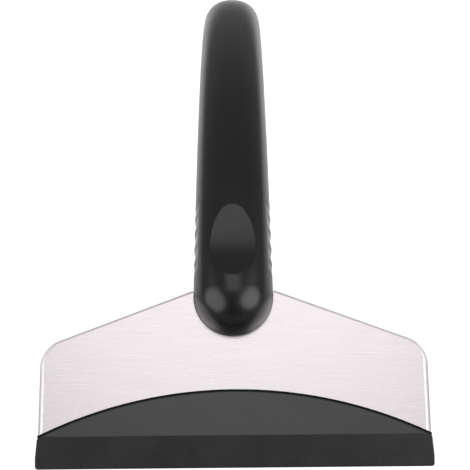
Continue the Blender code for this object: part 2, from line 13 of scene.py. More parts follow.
import bmesh
import bpy
from mathutils import Matrix, Vector


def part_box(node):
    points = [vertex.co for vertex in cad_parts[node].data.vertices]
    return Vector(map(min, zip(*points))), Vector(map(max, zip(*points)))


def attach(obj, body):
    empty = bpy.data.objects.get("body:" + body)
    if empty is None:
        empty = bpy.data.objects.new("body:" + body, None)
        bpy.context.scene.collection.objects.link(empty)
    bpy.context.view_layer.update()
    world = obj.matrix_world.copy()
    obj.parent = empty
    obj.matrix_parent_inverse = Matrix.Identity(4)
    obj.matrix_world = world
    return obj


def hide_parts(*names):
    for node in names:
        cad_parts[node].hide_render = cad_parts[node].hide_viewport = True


bl_info = {
    "name": "Hand Ice Scraper",
    "version": (1, 0, 0),
    "blender": (4, 5, 0),
    "location": "View3D > Sidebar > Scraper",
    "description": "Models the fine pieces, finishes and stage of a hand ice scraper",
    "category": "Object",
}

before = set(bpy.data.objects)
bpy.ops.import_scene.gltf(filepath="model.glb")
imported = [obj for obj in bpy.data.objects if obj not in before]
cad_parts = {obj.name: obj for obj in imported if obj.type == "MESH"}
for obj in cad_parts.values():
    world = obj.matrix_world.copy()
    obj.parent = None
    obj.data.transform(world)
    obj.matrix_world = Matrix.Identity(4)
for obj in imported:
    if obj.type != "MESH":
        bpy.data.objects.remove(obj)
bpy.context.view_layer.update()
blade_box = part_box("edge_blade")

# How the head leans, and where its foot lies in the frame
HEAD_TILT = math.radians(25.0)
TIP_THICKNESS = 0.0006
TIP_Y = -TIP_THICKNESS * math.sin(HEAD_TILT)
FOOT_Y = blade_box[0].y - TIP_Y


class ScraperSizes(bpy.types.PropertyGroup):
    """Sizes of the grip, the head and the edge."""

    nose_centre: bpy.props.FloatProperty(
        name="Nose Centre", description="Middle of the grip's nose, up the plate from the edge",
        default=0.05125, unit="LENGTH")
    nose_radius: bpy.props.FloatProperty(
        name="Nose Radius", description="Half width of the grip at its nose",
        default=0.0119, unit="LENGTH")
    end_radius: bpy.props.FloatProperty(
        name="End Radius", description="Half width of the grip at its far end",
        default=0.0099, unit="LENGTH")
    arc_radius: bpy.props.FloatProperty(
        name="Arc Radius", description="Radius of the grip's arched centre line",
        default=0.1454, unit="LENGTH")
    taper_power: bpy.props.FloatProperty(
        name="Taper Power", description="How soon the grip slims down behind the nose",
        default=1.5)
    squareness: bpy.props.FloatProperty(
        name="Squareness", description="2 is a round section, more is a fuller one",
        default=2.25)
    wall: bpy.props.FloatProperty(
        name="Wall", description="Wall of the grip's two shells",
        default=0.0022, unit="LENGTH")
    scoop_depth: bpy.props.FloatProperty(
        name="Scoop Depth", description="Depth of the sunk thumb rest at its middle",
        default=0.00170, unit="LENGTH")
    scoop_lean: bpy.props.FloatProperty(
        name="Scoop Lean", description="0 is even, more moves the deepest place towards the nose",
        default=0.34)
    scoop_low: bpy.props.FloatProperty(
        name="Scoop Low", description="Where the thumb rest starts, along the grip",
        default=0.0037, unit="LENGTH")
    scoop_high: bpy.props.FloatProperty(
        name="Scoop High", description="Where the thumb rest ends, along the grip",
        default=0.0246, unit="LENGTH")
    pad_start: bpy.props.FloatProperty(
        name="Pad Start", description="Where the side pads start, along the grip",
        default=0.0065, unit="LENGTH")
    pad_end: bpy.props.FloatProperty(
        name="Pad End", description="Where the side pads end, along the grip",
        default=0.0285, unit="LENGTH")
    pad_spread: bpy.props.FloatProperty(
        name="Pad Spread", description="How far each side pad reaches up and down from the side",
        default=math.radians(30.0), subtype="ANGLE")
    pad_thickness: bpy.props.FloatProperty(
        name="Pad Thickness", description="Thickness of the side pads",
        default=0.0011, unit="LENGTH")
    rib_first: bpy.props.FloatProperty(
        name="First Rib", description="Middle of the first raised rib, along the grip",
        default=0.0099, unit="LENGTH")
    rib_pitch: bpy.props.FloatProperty(
        name="Rib Pitch", description="Distance from rib to rib",
        default=0.00507, unit="LENGTH")
    rib_count: bpy.props.IntProperty(
        name="Rib Count", description="Raised ribs on each pad", default=4)
    rib_half_width: bpy.props.FloatProperty(
        name="Rib Half Width", description="Half width of a rib",
        default=0.0015, unit="LENGTH")
    rib_height: bpy.props.FloatProperty(
        name="Rib Height", description="How far a rib stands up from its pad",
        default=0.0003, unit="LENGTH")
    rib_spread: bpy.props.FloatProperty(
        name="Rib Spread", description="How far a rib reaches round the grip",
        default=math.radians(24.0), subtype="ANGLE")
    plate_half_width: bpy.props.FloatProperty(
        name="Plate Half Width", description="Half width of the steel head",
        default=0.0571, unit="LENGTH")
    plate_thickness: bpy.props.FloatProperty(
        name="Plate Thickness", description="Thickness of the sheet",
        default=0.0009, unit="LENGTH")
    plate_foot: bpy.props.FloatProperty(
        name="Plate Foot", description="Lower edge of the sheet inside the rubber",
        default=0.0040, unit="LENGTH")
    corner_radius: bpy.props.FloatProperty(
        name="Corner Radius", description="Rounding of the head's shoulders",
        default=0.0084, unit="LENGTH")
    shoulder_slope: bpy.props.FloatProperty(
        name="Shoulder Slope", description="How steeply the shoulders fall to the sides",
        default=math.radians(21.0), subtype="ANGLE")
    shoulder_top: bpy.props.FloatProperty(
        name="Shoulder Top", description="Where the shoulders meet the grip, up the plate",
        default=0.0537, unit="LENGTH")
    rim_bend: bpy.props.FloatProperty(
        name="Rim Bend", description="How far the rolled rim bends out at the sides",
        default=0.0012, unit="LENGTH")
    rim_depth: bpy.props.FloatProperty(
        name="Rim Depth", description="How far the rim reaches down",
        default=0.0028, unit="LENGTH")
    rim_foot: bpy.props.FloatProperty(
        name="Rim Foot", description="Where the rim starts above the rubber",
        default=0.0095, unit="LENGTH")
    tang_half_width: bpy.props.FloatProperty(
        name="Tang Half Width", description="Half width of the tang inside the grip",
        default=0.0070, unit="LENGTH")
    tang_top: bpy.props.FloatProperty(
        name="Tang Top", description="End of the tang, up the plate",
        default=0.0875, unit="LENGTH")
    blade_crease: bpy.props.FloatProperty(
        name="Blade Crease", description="Where the bevelled front of the rubber ends",
        default=0.0089, unit="LENGTH")
    blade_apex: bpy.props.FloatProperty(
        name="Blade Apex", description="Top of the rubber's arc, up the plate",
        default=0.0226, unit="LENGTH")
    blade_rise: bpy.props.FloatProperty(
        name="Blade Rise", description="Rise of the rubber's arc from its ends to its apex",
        default=0.0134, unit="LENGTH")
    blade_top: bpy.props.FloatProperty(
        name="Blade Top", description="Height of the rubber's upper face over the sheet's middle",
        default=0.0024, unit="LENGTH")
    blade_underside: bpy.props.FloatProperty(
        name="Blade Underside", description="Depth of the rubber under the sheet's middle",
        default=0.0019, unit="LENGTH")


class ScraperFinishes(bpy.types.PropertyGroup):
    """Colours and gloss of the scraper's materials."""

    grip_colour: bpy.props.FloatVectorProperty(
        name="Grip Colour", description="Moulded plastic of the grip",
        default=(0.0056, 0.0056, 0.0058), subtype="COLOR", size=3)
    pad_colour: bpy.props.FloatVectorProperty(
        name="Pad Colour", description="Soft plastic of the side pads",
        default=(0.0110, 0.0110, 0.0115), subtype="COLOR", size=3)
    steel_colour: bpy.props.FloatVectorProperty(
        name="Steel Colour", description="Brushed stainless of the head",
        default=(0.66, 0.619, 0.638), subtype="COLOR", size=3)
    # The rim colour is a painted highlight: paler steel where the rolled rim catches the light
    rim_highlight_colour: bpy.props.FloatVectorProperty(
        name="Rim Colour", description="Burnished steel of the head's rolled rim",
        default=(0.85, 0.81, 0.83), subtype="COLOR", size=3)
    rubber_colour: bpy.props.FloatVectorProperty(
        name="Rubber Colour", description="Rubber of the edge",
        default=(0.0165, 0.0165, 0.0170), subtype="COLOR", size=3)
    screw_colour: bpy.props.FloatVectorProperty(
        name="Screw Colour", description="Plain steel of the screws",
        default=(0.55, 0.55, 0.57), subtype="COLOR", size=3)
    grip_roughness: bpy.props.FloatProperty(
        name="Grip Roughness", description="0 is a mirror, 1 is fully matt",
        default=0.27, min=0.0, max=1.0, subtype="FACTOR")


class ScraperStage(bpy.types.PropertyGroup):
    """The camera and the floor."""

    lens: bpy.props.FloatProperty(
        name="Lens", description="Focal length on a 36 mm sensor", default=127.76, unit="CAMERA")
    camera_place: bpy.props.FloatVectorProperty(
        name="Camera Place", description="Where the camera stands",
        default=(0.0021118, -0.3885997, 0.3891118), subtype="TRANSLATION", size=3)
    camera_turn: bpy.props.FloatVectorProperty(
        name="Camera Turn", description="How the camera is turned",
        default=(math.radians(44.5247), math.radians(0.5119), math.radians(-0.2854)),
        subtype="EULER", size=3)
    floor_colour: bpy.props.FloatVectorProperty(
        name="Floor Colour", description="Pale floor under the tool",
        default=(0.62, 0.62, 0.62), subtype="COLOR", size=3)
    floor_lift: bpy.props.FloatProperty(
        name="Floor Lift", description="How much the floor's own white adds under the tool",
        default=0.72)


def sizes():
    return bpy.context.scene.scraper_sizes


def finishes():
    return bpy.context.scene.scraper_finishes


def stage_values():
    return bpy.context.scene.scraper_stage


# Small features of the grip and its pads
SHEET_GAP = 0.0001
SEAM_GAP = 0.00005
SEAM_GROOVE = 0.00014
GROOVE_WIDTH = 0.00028
PARTING_BLEND = 0.0020
NOSE_EDGE_ROUNDING = 0.0004
SIDE_EDGE_ROUNDING = 0.00012
ARCH_EDGE_ROUNDING = 0.00004
SIDE_EDGE_FROM = 0.25
ARCH_EDGE_FROM = 0.6
PAD_GAP = 0.00006
PAD_SINK = 0.00024
PAD_RIM_SINK = 0.00004
PAD_DISH_RIM = 0.0025
PAD_EDGE_SOFTNESS = 0.00005
RIB_END_FALL = 0.5

# Small features of the head
SHEET_SOFTNESS = 0.00008
SHOULDER_BEND_SHARE = 0.5
BEND_START = math.radians(13)

# Small features of the rubber edge
BLADE_FLARE = 0.00045
BLADE_FLARE_END = 0.0030
BLADE_CREASE_INSET = 0.0001
BLADE_LAND = 0.0012
BLADE_UNDERSIDE_START = 0.0080
BLADE_UNDER_LIP = 0.0170
BLADE_UNDER_LIP_HALF_WIDTH = 0.0546
BLADE_CORNER_RADIUS = 0.0008
BLADE_SOFTNESS = 0.00024
BLADE_ARC_SOFTNESS = 0.00008
BLADE_CREASE_SOFTNESS = 0.00030
ARC_LINE_INSET = 0.00008
ARC_LINE_WIDTH = 0.00085
ARC_LINE_DEPTH = 0.0013

# The screws and their posts
GRIP_SCREW_PLACES = (0.0440, 0.0900, 0.1340)
TANG_SCREW_ROWS = (0.0620, 0.0790)
GRIP_SCREW_LENGTH = 0.0105
TANG_SCREW_LENGTH = 0.0075
SCREW_SEAT_DEPTH = 0.0050
SCREW_SHANK_RADIUS = 0.0013
SCREW_HEAD_RADIUS = 0.0026
SCREW_HEAD_HEIGHT = 0.0018
SCREW_CROWN = 0.0010
SCREW_POINT = 0.0015
SCREW_TIP_SHARE = 0.1
SCREW_RECESS_LENGTH = 0.0030
SCREW_RECESS_WIDTH = 0.0006
SCREW_RECESS_DEPTH = 0.0008
SCREW_GAP = 0.0003
POST_RADIUS = 0.0044

# Patterns of the finishes: lumps to a metre, their detail, and the values that a noise mostly has
GRIP_HANDLED = 45
GRIP_GRAIN = 2600
PAD_MOTTLE = 700
PAD_PEBBLE = 2200
BRUSH_LINES = (110, 5200, 5200)
BRUSH_BANDS = (55, 1900, 1900)
RUBBER_DUST = 70
RUBBER_GRAIN = 3800
SCREW_GRAIN = 3000
BROAD_DETAIL = 3.0
FINE_DETAIL = 2.0
PEBBLE_DETAIL = 1.5
NOISE_LOW = 0.3
NOISE_HIGH = 0.7

# Tone of the finishes: darkest and lightest share of a colour, and what makes up the brushing
GRIP_SHARES = (0.9, 1.2)
PAD_SHARES = (0.8, 1.4)
RUBBER_SHARES = (0.94, 1.1)
SCREW_SHARES = (0.85, 1.1)
STEEL_DARK_SHARE = 0.93
LINES_SHARE = 0.6
BANDS_SHARE = 0.4
BRUSH_TONE = 0.065

# Gloss of the finishes: least and most roughness, and what a fine grain adds or takes
GRIP_ROUGHNESS_CHANGES = (-0.03, 0.04)
PAD_ROUGHNESS = (0.17, 0.28)
RUBBER_ROUGHNESS = (0.25, 0.30)
SCREW_ROUGHNESS = (0.24, 0.36)
STEEL_ROUGHNESS = (0.26, 0.30)
GRAIN_ROUGHNESS = 0.02
GRIP_IOR = 1.45
BRUSH_ANISOTROPY = 0.35

# The rim's painted highlight (a paler steel colour) and its added roughness: where they start and
# are whole under the sheet's face
RIM_HIGHLIGHT_AND_ROUGH_START = 0.000003
RIM_HIGHLIGHT_AND_ROUGH_DEPTH = 0.000025
RIM_ROUGHNESS = 0.30

# Relief of the finishes: depth and strength
GRIP_RELIEF = (0.000004, 0.4)
PAD_RELIEF = (0.00002, 0.6)
STEEL_RELIEF = (0.000008, 0.10)
RUBBER_RELIEF = (0.000008, 0.4)
SCREW_RELIEF = (0.00001, 0.3)

# The floor, the room and the camera
FLOOR_SIZE = 6.0
FLOOR_ROUGHNESS = 0.9
FLOOR_SPECULAR = 0.1
# Painted shade: between the near and far distances from the table's middle, the floor's colour and
# its lift in glossy rays fall to the far share
TABLE_MIDDLE_Y = 0.050
TABLE_STRETCH = 0.25
TABLE_NEAR = 0.05
TABLE_FAR = 0.14
FAR_SHADE_SHARE = 0.28
GLOSSY_LIFT = 0.55
ROOM_FRONT = 0.10
ROOM_BACK = 0.35
ROOM_DIM_UP_TO = -0.6
ROOM_BRIGHT_FROM = 0.3
SENSOR_WIDTH = 36.0
NEAREST_SEEN = 0.01

# Where up the plate the lamps point
LAMP_TARGET = 0.05

# The lamps: name, shape, degrees aside and over, distance, width, depth and brightness
LAMPS = (
    ("overhead", "RECTANGLE", 0, 96.5, 2.0, 0.86, 0.72, 1.92),
    ("left", "ELLIPSE", -51.5, 139, 1.2, 1.50, 1.40, 2.5),
    ("right", "ELLIPSE", 46, 132, 1.2, 1.32, 1.25, 3.2),
)

# How finely each piece is divided
UPPER_COLUMNS = 300
LOWER_COLUMNS = 120
FINE_STEP = 0.00018
COARSE_STEP = 0.0014
DOME_RINGS = 16
PAD_COLUMNS = 60
PAD_ROWS = 124
CORNER_STEPS = 16
BEND_STEPS = 8
ARC_COLUMNS = 512
BLADE_CORNER_STEPS = 6
SOFT_STEPS = 2
ARC_SOFT_STEPS = 3
CROWN_STEPS = 5
SCREW_SIDES = 48
WELL_SIDES = 48

# How a bevel is rounded, and how much a large face weighs in the shading
ROUND_PROFILE = 0.5
FLAT_WEIGHT = 100

# Tolerances, and the rounds in which the grip's far end settles on the table
TOUCH = 0.000001
NEAR = 0.00002
WELD_DISTANCE = 0.000005
NEARLY_SQUARE = 0.9
FLAT_ANGLE = math.radians(0.5)
RIM_ANGLE = math.radians(50)
SMOOTH_ANGLE = math.radians(35)
SETTLING_ROUNDS = 20


def between(value, low, high):
    return min(max(value, low), high)


def smooth_step(share):
    """A share held between 0 and 1 that leaves both without a kink."""
    share = between(share, 0.0, 1.0)
    return share * share * (3.0 - 2.0 * share)


def signed_power(value, power):
    return math.copysign(abs(value) ** power, value)


def plate_point(x, v, w):
    """World point for a place on the head."""
    y = v * math.cos(HEAD_TILT) - w * math.sin(HEAD_TILT)
    z = v * math.sin(HEAD_TILT) + w * math.cos(HEAD_TILT)
    return Vector((x, y + FOOT_Y, z))


def plate_matrix():
    """Turns what is drawn in (x, v, w) into the world."""
    return Matrix.Translation(plate_point(0, 0, 0)) @ Matrix.Rotation(HEAD_TILT, 4, "X")


class GripForm:
    """The grip's arched centre line, its section and its thumb rest, from the tool's sizes."""

    def __init__(self, size):
        self.size = size
        self.nose_y = size.nose_centre * math.cos(HEAD_TILT)
        self.nose_z = size.nose_centre * math.sin(HEAD_TILT)
        self.length = size.arc_radius * (HEAD_TILT - self.resting_slope())

    def end_reach(self, slope):
        """How far the squarish far end reaches down from its centre at a slope."""
        power = self.size.squareness / (self.size.squareness - 1)
        total = abs(math.sin(slope)) ** power + abs(math.cos(slope)) ** power
        return self.size.end_radius * total ** (1 / power)

    def resting_slope(self):
        """Slope of the far end where it just touches the table."""
        slope = -HEAD_TILT
        for _ in range(SETTLING_ROUNDS):
            drop = self.nose_z - self.end_reach(slope)
            slope = -math.acos(math.cos(HEAD_TILT) - drop / self.size.arc_radius)
        return slope

    def slope(self, s):
        return HEAD_TILT - between(s, 0.0, self.length) / self.size.arc_radius

    def point(self, x, s, w):
        """World point for a place on the grip: an arc, and straight on at both domes."""
        slope = self.slope(s)
        y = self.nose_y + self.size.arc_radius * (math.sin(HEAD_TILT) - math.sin(slope))
        z = self.nose_z + self.size.arc_radius * (math.cos(slope) - math.cos(HEAD_TILT))
        beyond = s - between(s, 0.0, self.length)
        y += beyond * math.cos(slope) - w * math.sin(slope)
        z += beyond * math.sin(slope) + w * math.cos(slope)
        return Vector((x, y + FOOT_Y, z))

    def radius(self, s):
        left = 1.0 - between(s, 0.0, self.length) / self.length
        gain = self.size.nose_radius - self.size.end_radius
        return self.size.end_radius + gain * left ** self.size.taper_power

    def section(self, s, angle, inset):
        """Place (x, w) at an angle up from the +X side, inset under the skin."""
        radius = self.radius(s) - inset
        past = max(-s, s - self.length, 0.0)
        reach = math.sqrt(max(radius ** 2 - past ** 2, 0.0))
        x = reach * signed_power(math.cos(angle), 2 / self.size.squareness)
        filled = min((x * x + past * past) / radius ** 2, 1.0)
        height = radius * (1.0 - filled ** (self.size.squareness / 2)) ** (1 / self.size.squareness)
        return x, math.copysign(height, math.sin(angle))

    def rest_share(self, s):
        """Where s lies on the thumb rest: 0 at its start, 1 at its end."""
        return (s - self.size.scoop_low) / (self.size.scoop_high - self.size.scoop_low)

    def rest_height(self, s):
        """Height of the thumb rest over the centre line, and the same curve carried on past it."""
        share = self.rest_share(s)
        lean = 1.0 + self.size.scoop_lean * (1.0 - 2.0 * between(share, 0.0, 1.0))
        return self.radius(s) - 4.0 * self.size.scoop_depth * share * (1.0 - share) * lean

    def edge_rounding(self, s):
        """Softness of the thumb rest's edge: broad at the nose, finer at its sides and its arch."""
        share = self.rest_share(s)
        to_side = between(share / SIDE_EDGE_FROM, 0.0, 1.0)
        to_arch = between((share - ARCH_EDGE_FROM) / (1.0 - ARCH_EDGE_FROM), 0.0, 1.0)
        rounding = NOSE_EDGE_ROUNDING + (SIDE_EDGE_ROUNDING - NOSE_EDGE_ROUNDING) * to_side
        return rounding + (ARCH_EDGE_ROUNDING - SIDE_EDGE_ROUNDING) * to_arch

    def pressed(self, w, s, inset):
        """A height pressed down to the thumb rest, with a rounded edge where the two meet."""
        limit = self.rest_height(s) - inset
        below = limit - w
        rounding = self.edge_rounding(s)
        blend = between(0.5 + 0.5 * below / rounding, 0.0, 1.0)
        return limit - below * blend - rounding * blend * (1.0 - blend)

    def parting_rise(self, s):
        """Half the room between the shells: for the sheet at the nose, a fine seam behind it."""
        if s < self.size.shoulder_top - self.size.nose_centre:
            return self.size.plate_thickness / 2 + SHEET_GAP
        return SEAM_GAP / 2

    def shell_point(self, place, side, inset):
        """Where a vertex of the straight rod lies on the skin of a shell, or inside its wall."""
        s, angle = place.y, math.atan2(place.z, place.x)
        _, plain = self.section(s, angle, 0.0)
        groove = SEAM_GROOVE * max(1.0 - abs(plain) / GROOVE_WIDTH, 0.0)
        depth = inset + groove
        if s < 0.0:
            s *= 1.0 - depth / self.size.nose_radius
        elif s > self.length:
            s = self.length + (s - self.length) * (1.0 - depth / self.size.end_radius)
        x, w = self.section(s, angle, depth)
        rise = self.parting_rise(s)
        if abs(w) < PARTING_BLEND:
            w = side * (rise + abs(w) * (1.0 - rise / PARTING_BLEND))
        if side > 0 and s < self.size.scoop_high + self.size.nose_radius:
            w = self.pressed(w, s, inset)
        return self.point(x, s, w)


# Work that is done alike on every piece

def clear_selection():
    """Leave edit mode and deselect everything, so that an operator acts only on what comes next."""
    active = bpy.context.view_layer.objects.active
    if active is not None and active.mode != "OBJECT":
        bpy.ops.object.mode_set(mode="OBJECT")
    bpy.ops.object.select_all(action="DESELECT")


def make_active(obj):
    clear_selection()
    obj.select_set(True)
    bpy.context.view_layer.objects.active = obj


def new_piece(name):
    """Name the primitive just added, and put its place into its mesh."""
    obj = bpy.context.object
    obj.name = name
    obj.data.name = name
    bpy.ops.object.transform_apply(location=True, rotation=True, scale=True)
    return obj


def cylinder(name, sides, radius, depth, place, slope=0.0):
    """A closed cylinder along Z, leaned back by a slope."""
    clear_selection()
    bpy.ops.mesh.primitive_cylinder_add(
        vertices=sides, radius=radius, depth=depth, location=place, rotation=(slope, 0, 0))
    return new_piece(name)


def block(name, low, high):
    """A box between two corners."""
    clear_selection()
    centre = [(a + b) / 2 for a, b in zip(low, high)]
    bpy.ops.mesh.primitive_cube_add(size=1.0, location=centre)
    bpy.context.object.scale = [b - a for a, b in zip(low, high)]
    return new_piece(name)


def edit(obj):
    make_active(obj)
    bpy.ops.object.mode_set(mode="EDIT")
    bpy.ops.mesh.select_mode(type="VERT")


def leave_edit():
    bpy.ops.object.mode_set(mode="OBJECT")


def middle(part):
    """Middle of an edge or a face."""
    return sum((vertex.co for vertex in part.verts), Vector()) / len(part.verts)


def pick(obj, kind, test):
    """Select the vertices, edges or faces that pass a test, and nothing else."""
    bpy.ops.mesh.select_mode(type=kind)
    bpy.ops.mesh.select_all(action="DESELECT")
    mesh = bmesh.from_edit_mesh(obj.data)
    parts = {"VERT": mesh.verts, "EDGE": mesh.edges, "FACE": mesh.faces}[kind]
    for part in parts:
        if test(part):
            part.select_set(True)
    mesh.select_flush_mode()
    bmesh.update_edit_mesh(obj.data)


def cut(place, normal, drop=True, fill=False):
    """Bisect the whole mesh, and drop what lies on the normal's side."""
    bpy.ops.mesh.select_all(action="SELECT")
    bpy.ops.mesh.bisect(
        plane_co=place, plane_no=normal, clear_outer=drop, use_fill=fill, threshold=TOUCH)


def extrude(step):
    """Draw out what is selected by a step."""
    bpy.ops.mesh.extrude_region_move(TRANSFORM_OT_translate={"value": step})


def bevel(width, segments, affect="EDGES"):
    bpy.ops.mesh.bevel(offset=width, segments=segments, profile=ROUND_PROFILE, affect=affect)


def move_selected(obj, moved):
    """Put each selected vertex where a function of its place says."""
    mesh = bmesh.from_edit_mesh(obj.data)
    for vertex in mesh.verts:
        if vertex.select:
            vertex.co = moved(vertex.co)
    bmesh.update_edit_mesh(obj.data)


def face_towards(obj, direction):
    """Make an open skin's faces agree, and turn them to a side."""
    edit(obj)
    bpy.ops.mesh.select_all(action="SELECT")
    bpy.ops.mesh.normals_make_consistent(inside=False)
    mesh = bmesh.from_edit_mesh(obj.data)
    if sum(face.calc_area() * face.normal.dot(direction) for face in mesh.faces) < 0:
        bpy.ops.mesh.flip_normals()
    leave_edit()


def close_up(obj):
    """Weld a closed mesh and turn its faces out."""
    edit(obj)
    bpy.ops.mesh.select_all(action="SELECT")
    bpy.ops.mesh.remove_doubles(threshold=WELD_DISTANCE)
    bpy.ops.mesh.normals_make_consistent(inside=False)
    leave_edit()


def apply_modifier(obj, kind, **values):
    modifier = obj.modifiers.new(kind.lower(), kind)
    for key, value in values.items():
        setattr(modifier, key, value)
    make_active(obj)
    bpy.ops.object.modifier_apply(modifier=modifier.name)


def soften_edges(obj, width):
    apply_modifier(
        obj, "BEVEL", width=width, segments=SOFT_STEPS, limit_method="ANGLE",
        angle_limit=RIM_ANGLE, use_clamp_overlap=True)


def join_or_cut(obj, tool, operation="DIFFERENCE"):
    apply_modifier(obj, "BOOLEAN", operation=operation, solver="MANIFOLD", object=tool)
    bpy.data.objects.remove(tool)


def shade(obj, even_flats=False):
    """Shade smooth but for sharp edges, with large flat faces kept even where that is asked."""
    make_active(obj)
    bpy.ops.object.shade_smooth_by_angle(angle=SMOOTH_ANGLE)
    if even_flats:
        apply_modifier(obj, "WEIGHTED_NORMAL", keep_sharp=True, weight=FLAT_WEIGHT)


def finish_piece(obj, material, slot, *nodes):
    """Give a piece its material and its body, and hide the nodes that it stands for."""
    obj.data.materials.clear()
    obj.data.materials.append(material)
    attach(obj, "root")
    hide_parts(*nodes)


# Grip shells

def rod_stations(form):
    """Rings of the straight rod: both domes and the ends of the side pads."""
    size = form.size
    turns = [math.pi / 2 * k / DOME_RINGS for k in range(DOME_RINGS + 1)]
    nose = [-size.nose_radius * math.cos(turn) for turn in turns]
    pads = [size.pad_start - PAD_GAP, size.pad_end + PAD_GAP]
    far = [form.length + size.end_radius * math.sin(turn) for turn in turns]
    return nose + pads + far


def subdivide_lengthwise(rod, start, end, step):
    """Divide the rod's lengthwise edges between two places into steps of about a length."""
    def lengthwise(edge):
        ends = [vertex.co.y for vertex in edge.verts]
        return abs(ends[0] - ends[1]) > TOUCH and start < sum(ends) / 2 < end
    pick(rod, "EDGE", lengthwise)
    bpy.ops.mesh.subdivide(number_cuts=max(round((end - start) / step) - 1, 1))


def half_rod(form, name, side, columns, step):
    """Half of a straight rod, 1 m in radius, with a ring wherever the grip needs one."""
    stations = rod_stations(form)
    clear_selection()
    bpy.ops.mesh.primitive_circle_add(
        vertices=columns, radius=1.0, location=(0, stations[0], 0), rotation=(math.pi / 2, 0, 0))
    rod = new_piece(name)
    edit(rod)
    bpy.ops.mesh.select_all(action="SELECT")
    for here, after in zip(stations, stations[1:]):
        extrude((0, after - here, 0))
    for pole in (stations[0], stations[-1]):
        pick(rod, "VERT", lambda vertex: abs(vertex.co.y - pole) < TOUCH)
        bpy.ops.mesh.merge(type="CENTER")
    cut((0, 0, 0), (0, 0, -side))
    low, high = stations[DOME_RINGS + 1], stations[DOME_RINGS + 2]
    subdivide_lengthwise(rod, 0.0, low, step)
    subdivide_lengthwise(rod, low, high, step)
    subdivide_lengthwise(rod, high, form.length, COARSE_STEP)

    def behind_pad(face):
        place = middle(face)
        return low < place.y < high and math.atan2(abs(place.z), abs(place.x)) < form.size.pad_spread
    pick(rod, "FACE", behind_pad)
    bpy.ops.mesh.delete(type="FACE")
    leave_edit()
    return rod


def grip_shell(form, name, side, columns, step):
    """One moulded shell: the half rod bent to the grip's form and given its wall."""
    shell = half_rod(form, name, side, columns, step)
    blank = [vertex.co.copy() for vertex in shell.data.vertices]
    skin = [form.shell_point(place, side, 0.0) for place in blank]
    wall = [form.shell_point(place, side, form.size.wall) for place in blank]
    for vertex, place in zip(shell.data.vertices, skin):
        vertex.co = place
    face_towards(shell, Vector((0, 0, side)))
    apply_modifier(shell, "SOLIDIFY", thickness=form.size.wall, offset=-1.0)
    vertices = shell.data.vertices
    if (vertices[0].co - skin[0]).length < TOUCH:
        places = skin + wall
    else:
        places = wall + skin
    for vertex, place in zip(vertices, places):
        vertex.co = place
    shell.data.update()
    return shell


def drill_screw_wells(form, shell):
    """Posts inside the lower shell, each with a counterbored hole for its screw."""
    for s in GRIP_SCREW_PLACES:
        reach = 2 * form.radius(s)
        wells = (
            (POST_RADIUS, SEAM_GAP, form.radius(s) - form.size.wall / 2, "UNION"),
            (SCREW_HEAD_RADIUS + SCREW_GAP, SCREW_SEAT_DEPTH, reach, "DIFFERENCE"),
            (SCREW_SHANK_RADIUS + SCREW_GAP, -reach, reach, "DIFFERENCE"),
        )
        for radius, near, far, operation in wells:
            place = form.point(0, s, -(near + far) / 2)
            well = cylinder("well", WELL_SIDES, radius, far - near, place, form.slope(s))
            join_or_cut(shell, well, operation)


def grip_shells(material):
    form = GripForm(sizes())
    upper = grip_shell(form, "grip_upper", 1, UPPER_COLUMNS, FINE_STEP)
    lower = grip_shell(form, "grip_lower", -1, LOWER_COLUMNS, COARSE_STEP)
    drill_screw_wells(form, lower)
    for shell, node in ((upper, "upper_grip_shell"), (lower, "lower_grip_shell")):
        shade(shell)
        finish_piece(shell, material, "grip_black", node)


# Side pads

def rib_rise(size, s, angle):
    """Height of the raised ribs at a place on the pad."""
    if abs(angle) >= size.rib_spread:
        return 0.0
    rise = 0.0
    for k in range(size.rib_count):
        off = abs(s - size.rib_first - k * size.rib_pitch) / size.rib_half_width
        if off < 1.0:
            rise = size.rib_height * math.cos(off * math.pi / 2)
    return rise * math.cos(angle / size.rib_spread * math.pi / 2) ** RIB_END_FALL


def pad_sink(size, s, angle):
    """How far the pad's face lies under the grip's skin: nearly flush at its rim, dished inside."""
    along = min(s - size.pad_start, size.pad_end - s)
    around = (size.pad_spread - abs(angle)) * size.nose_radius
    share = smooth_step(min(along, around) / PAD_DISH_RIM)
    return PAD_RIM_SINK + (PAD_SINK - PAD_RIM_SINK) * share


def pad_point(form, place, side):
    """Where a vertex of the flat grid lies on the pad: x runs round the grip, y along it."""
    size = form.size
    angle = place.x * 2 * (size.pad_spread - PAD_GAP / size.nose_radius)
    s = (size.pad_start + size.pad_end) / 2 + place.y * (size.pad_end - size.pad_start)
    x, w = form.section(s, angle, pad_sink(size, s, angle) - rib_rise(size, s, angle))
    return form.point(side * x, s, w)


def grip_pad(form, name, side):
    """A soft pad: a fine grid laid on the grip's side, with its ribs, thickness and rolled edge."""
    clear_selection()
    bpy.ops.mesh.primitive_grid_add(x_subdivisions=PAD_COLUMNS, y_subdivisions=PAD_ROWS, size=1.0)
    pad = new_piece(name)
    for vertex in pad.data.vertices:
        vertex.co = pad_point(form, vertex.co, side)
    face_towards(pad, Vector((side, 0, 0)))
    apply_modifier(pad, "SOLIDIFY", thickness=form.size.pad_thickness - PAD_SINK, offset=-1.0)
    soften_edges(pad, PAD_EDGE_SOFTNESS)
    shade(pad)
    return pad


def grip_pads(material):
    form = GripForm(sizes())
    for name, side, node in (("pad_right", 1, "right_grip_pad"), ("pad_left", -1, "left_grip_pad")):
        finish_piece(grip_pad(form, name, side), material, "pad_black", node)


# Steel head

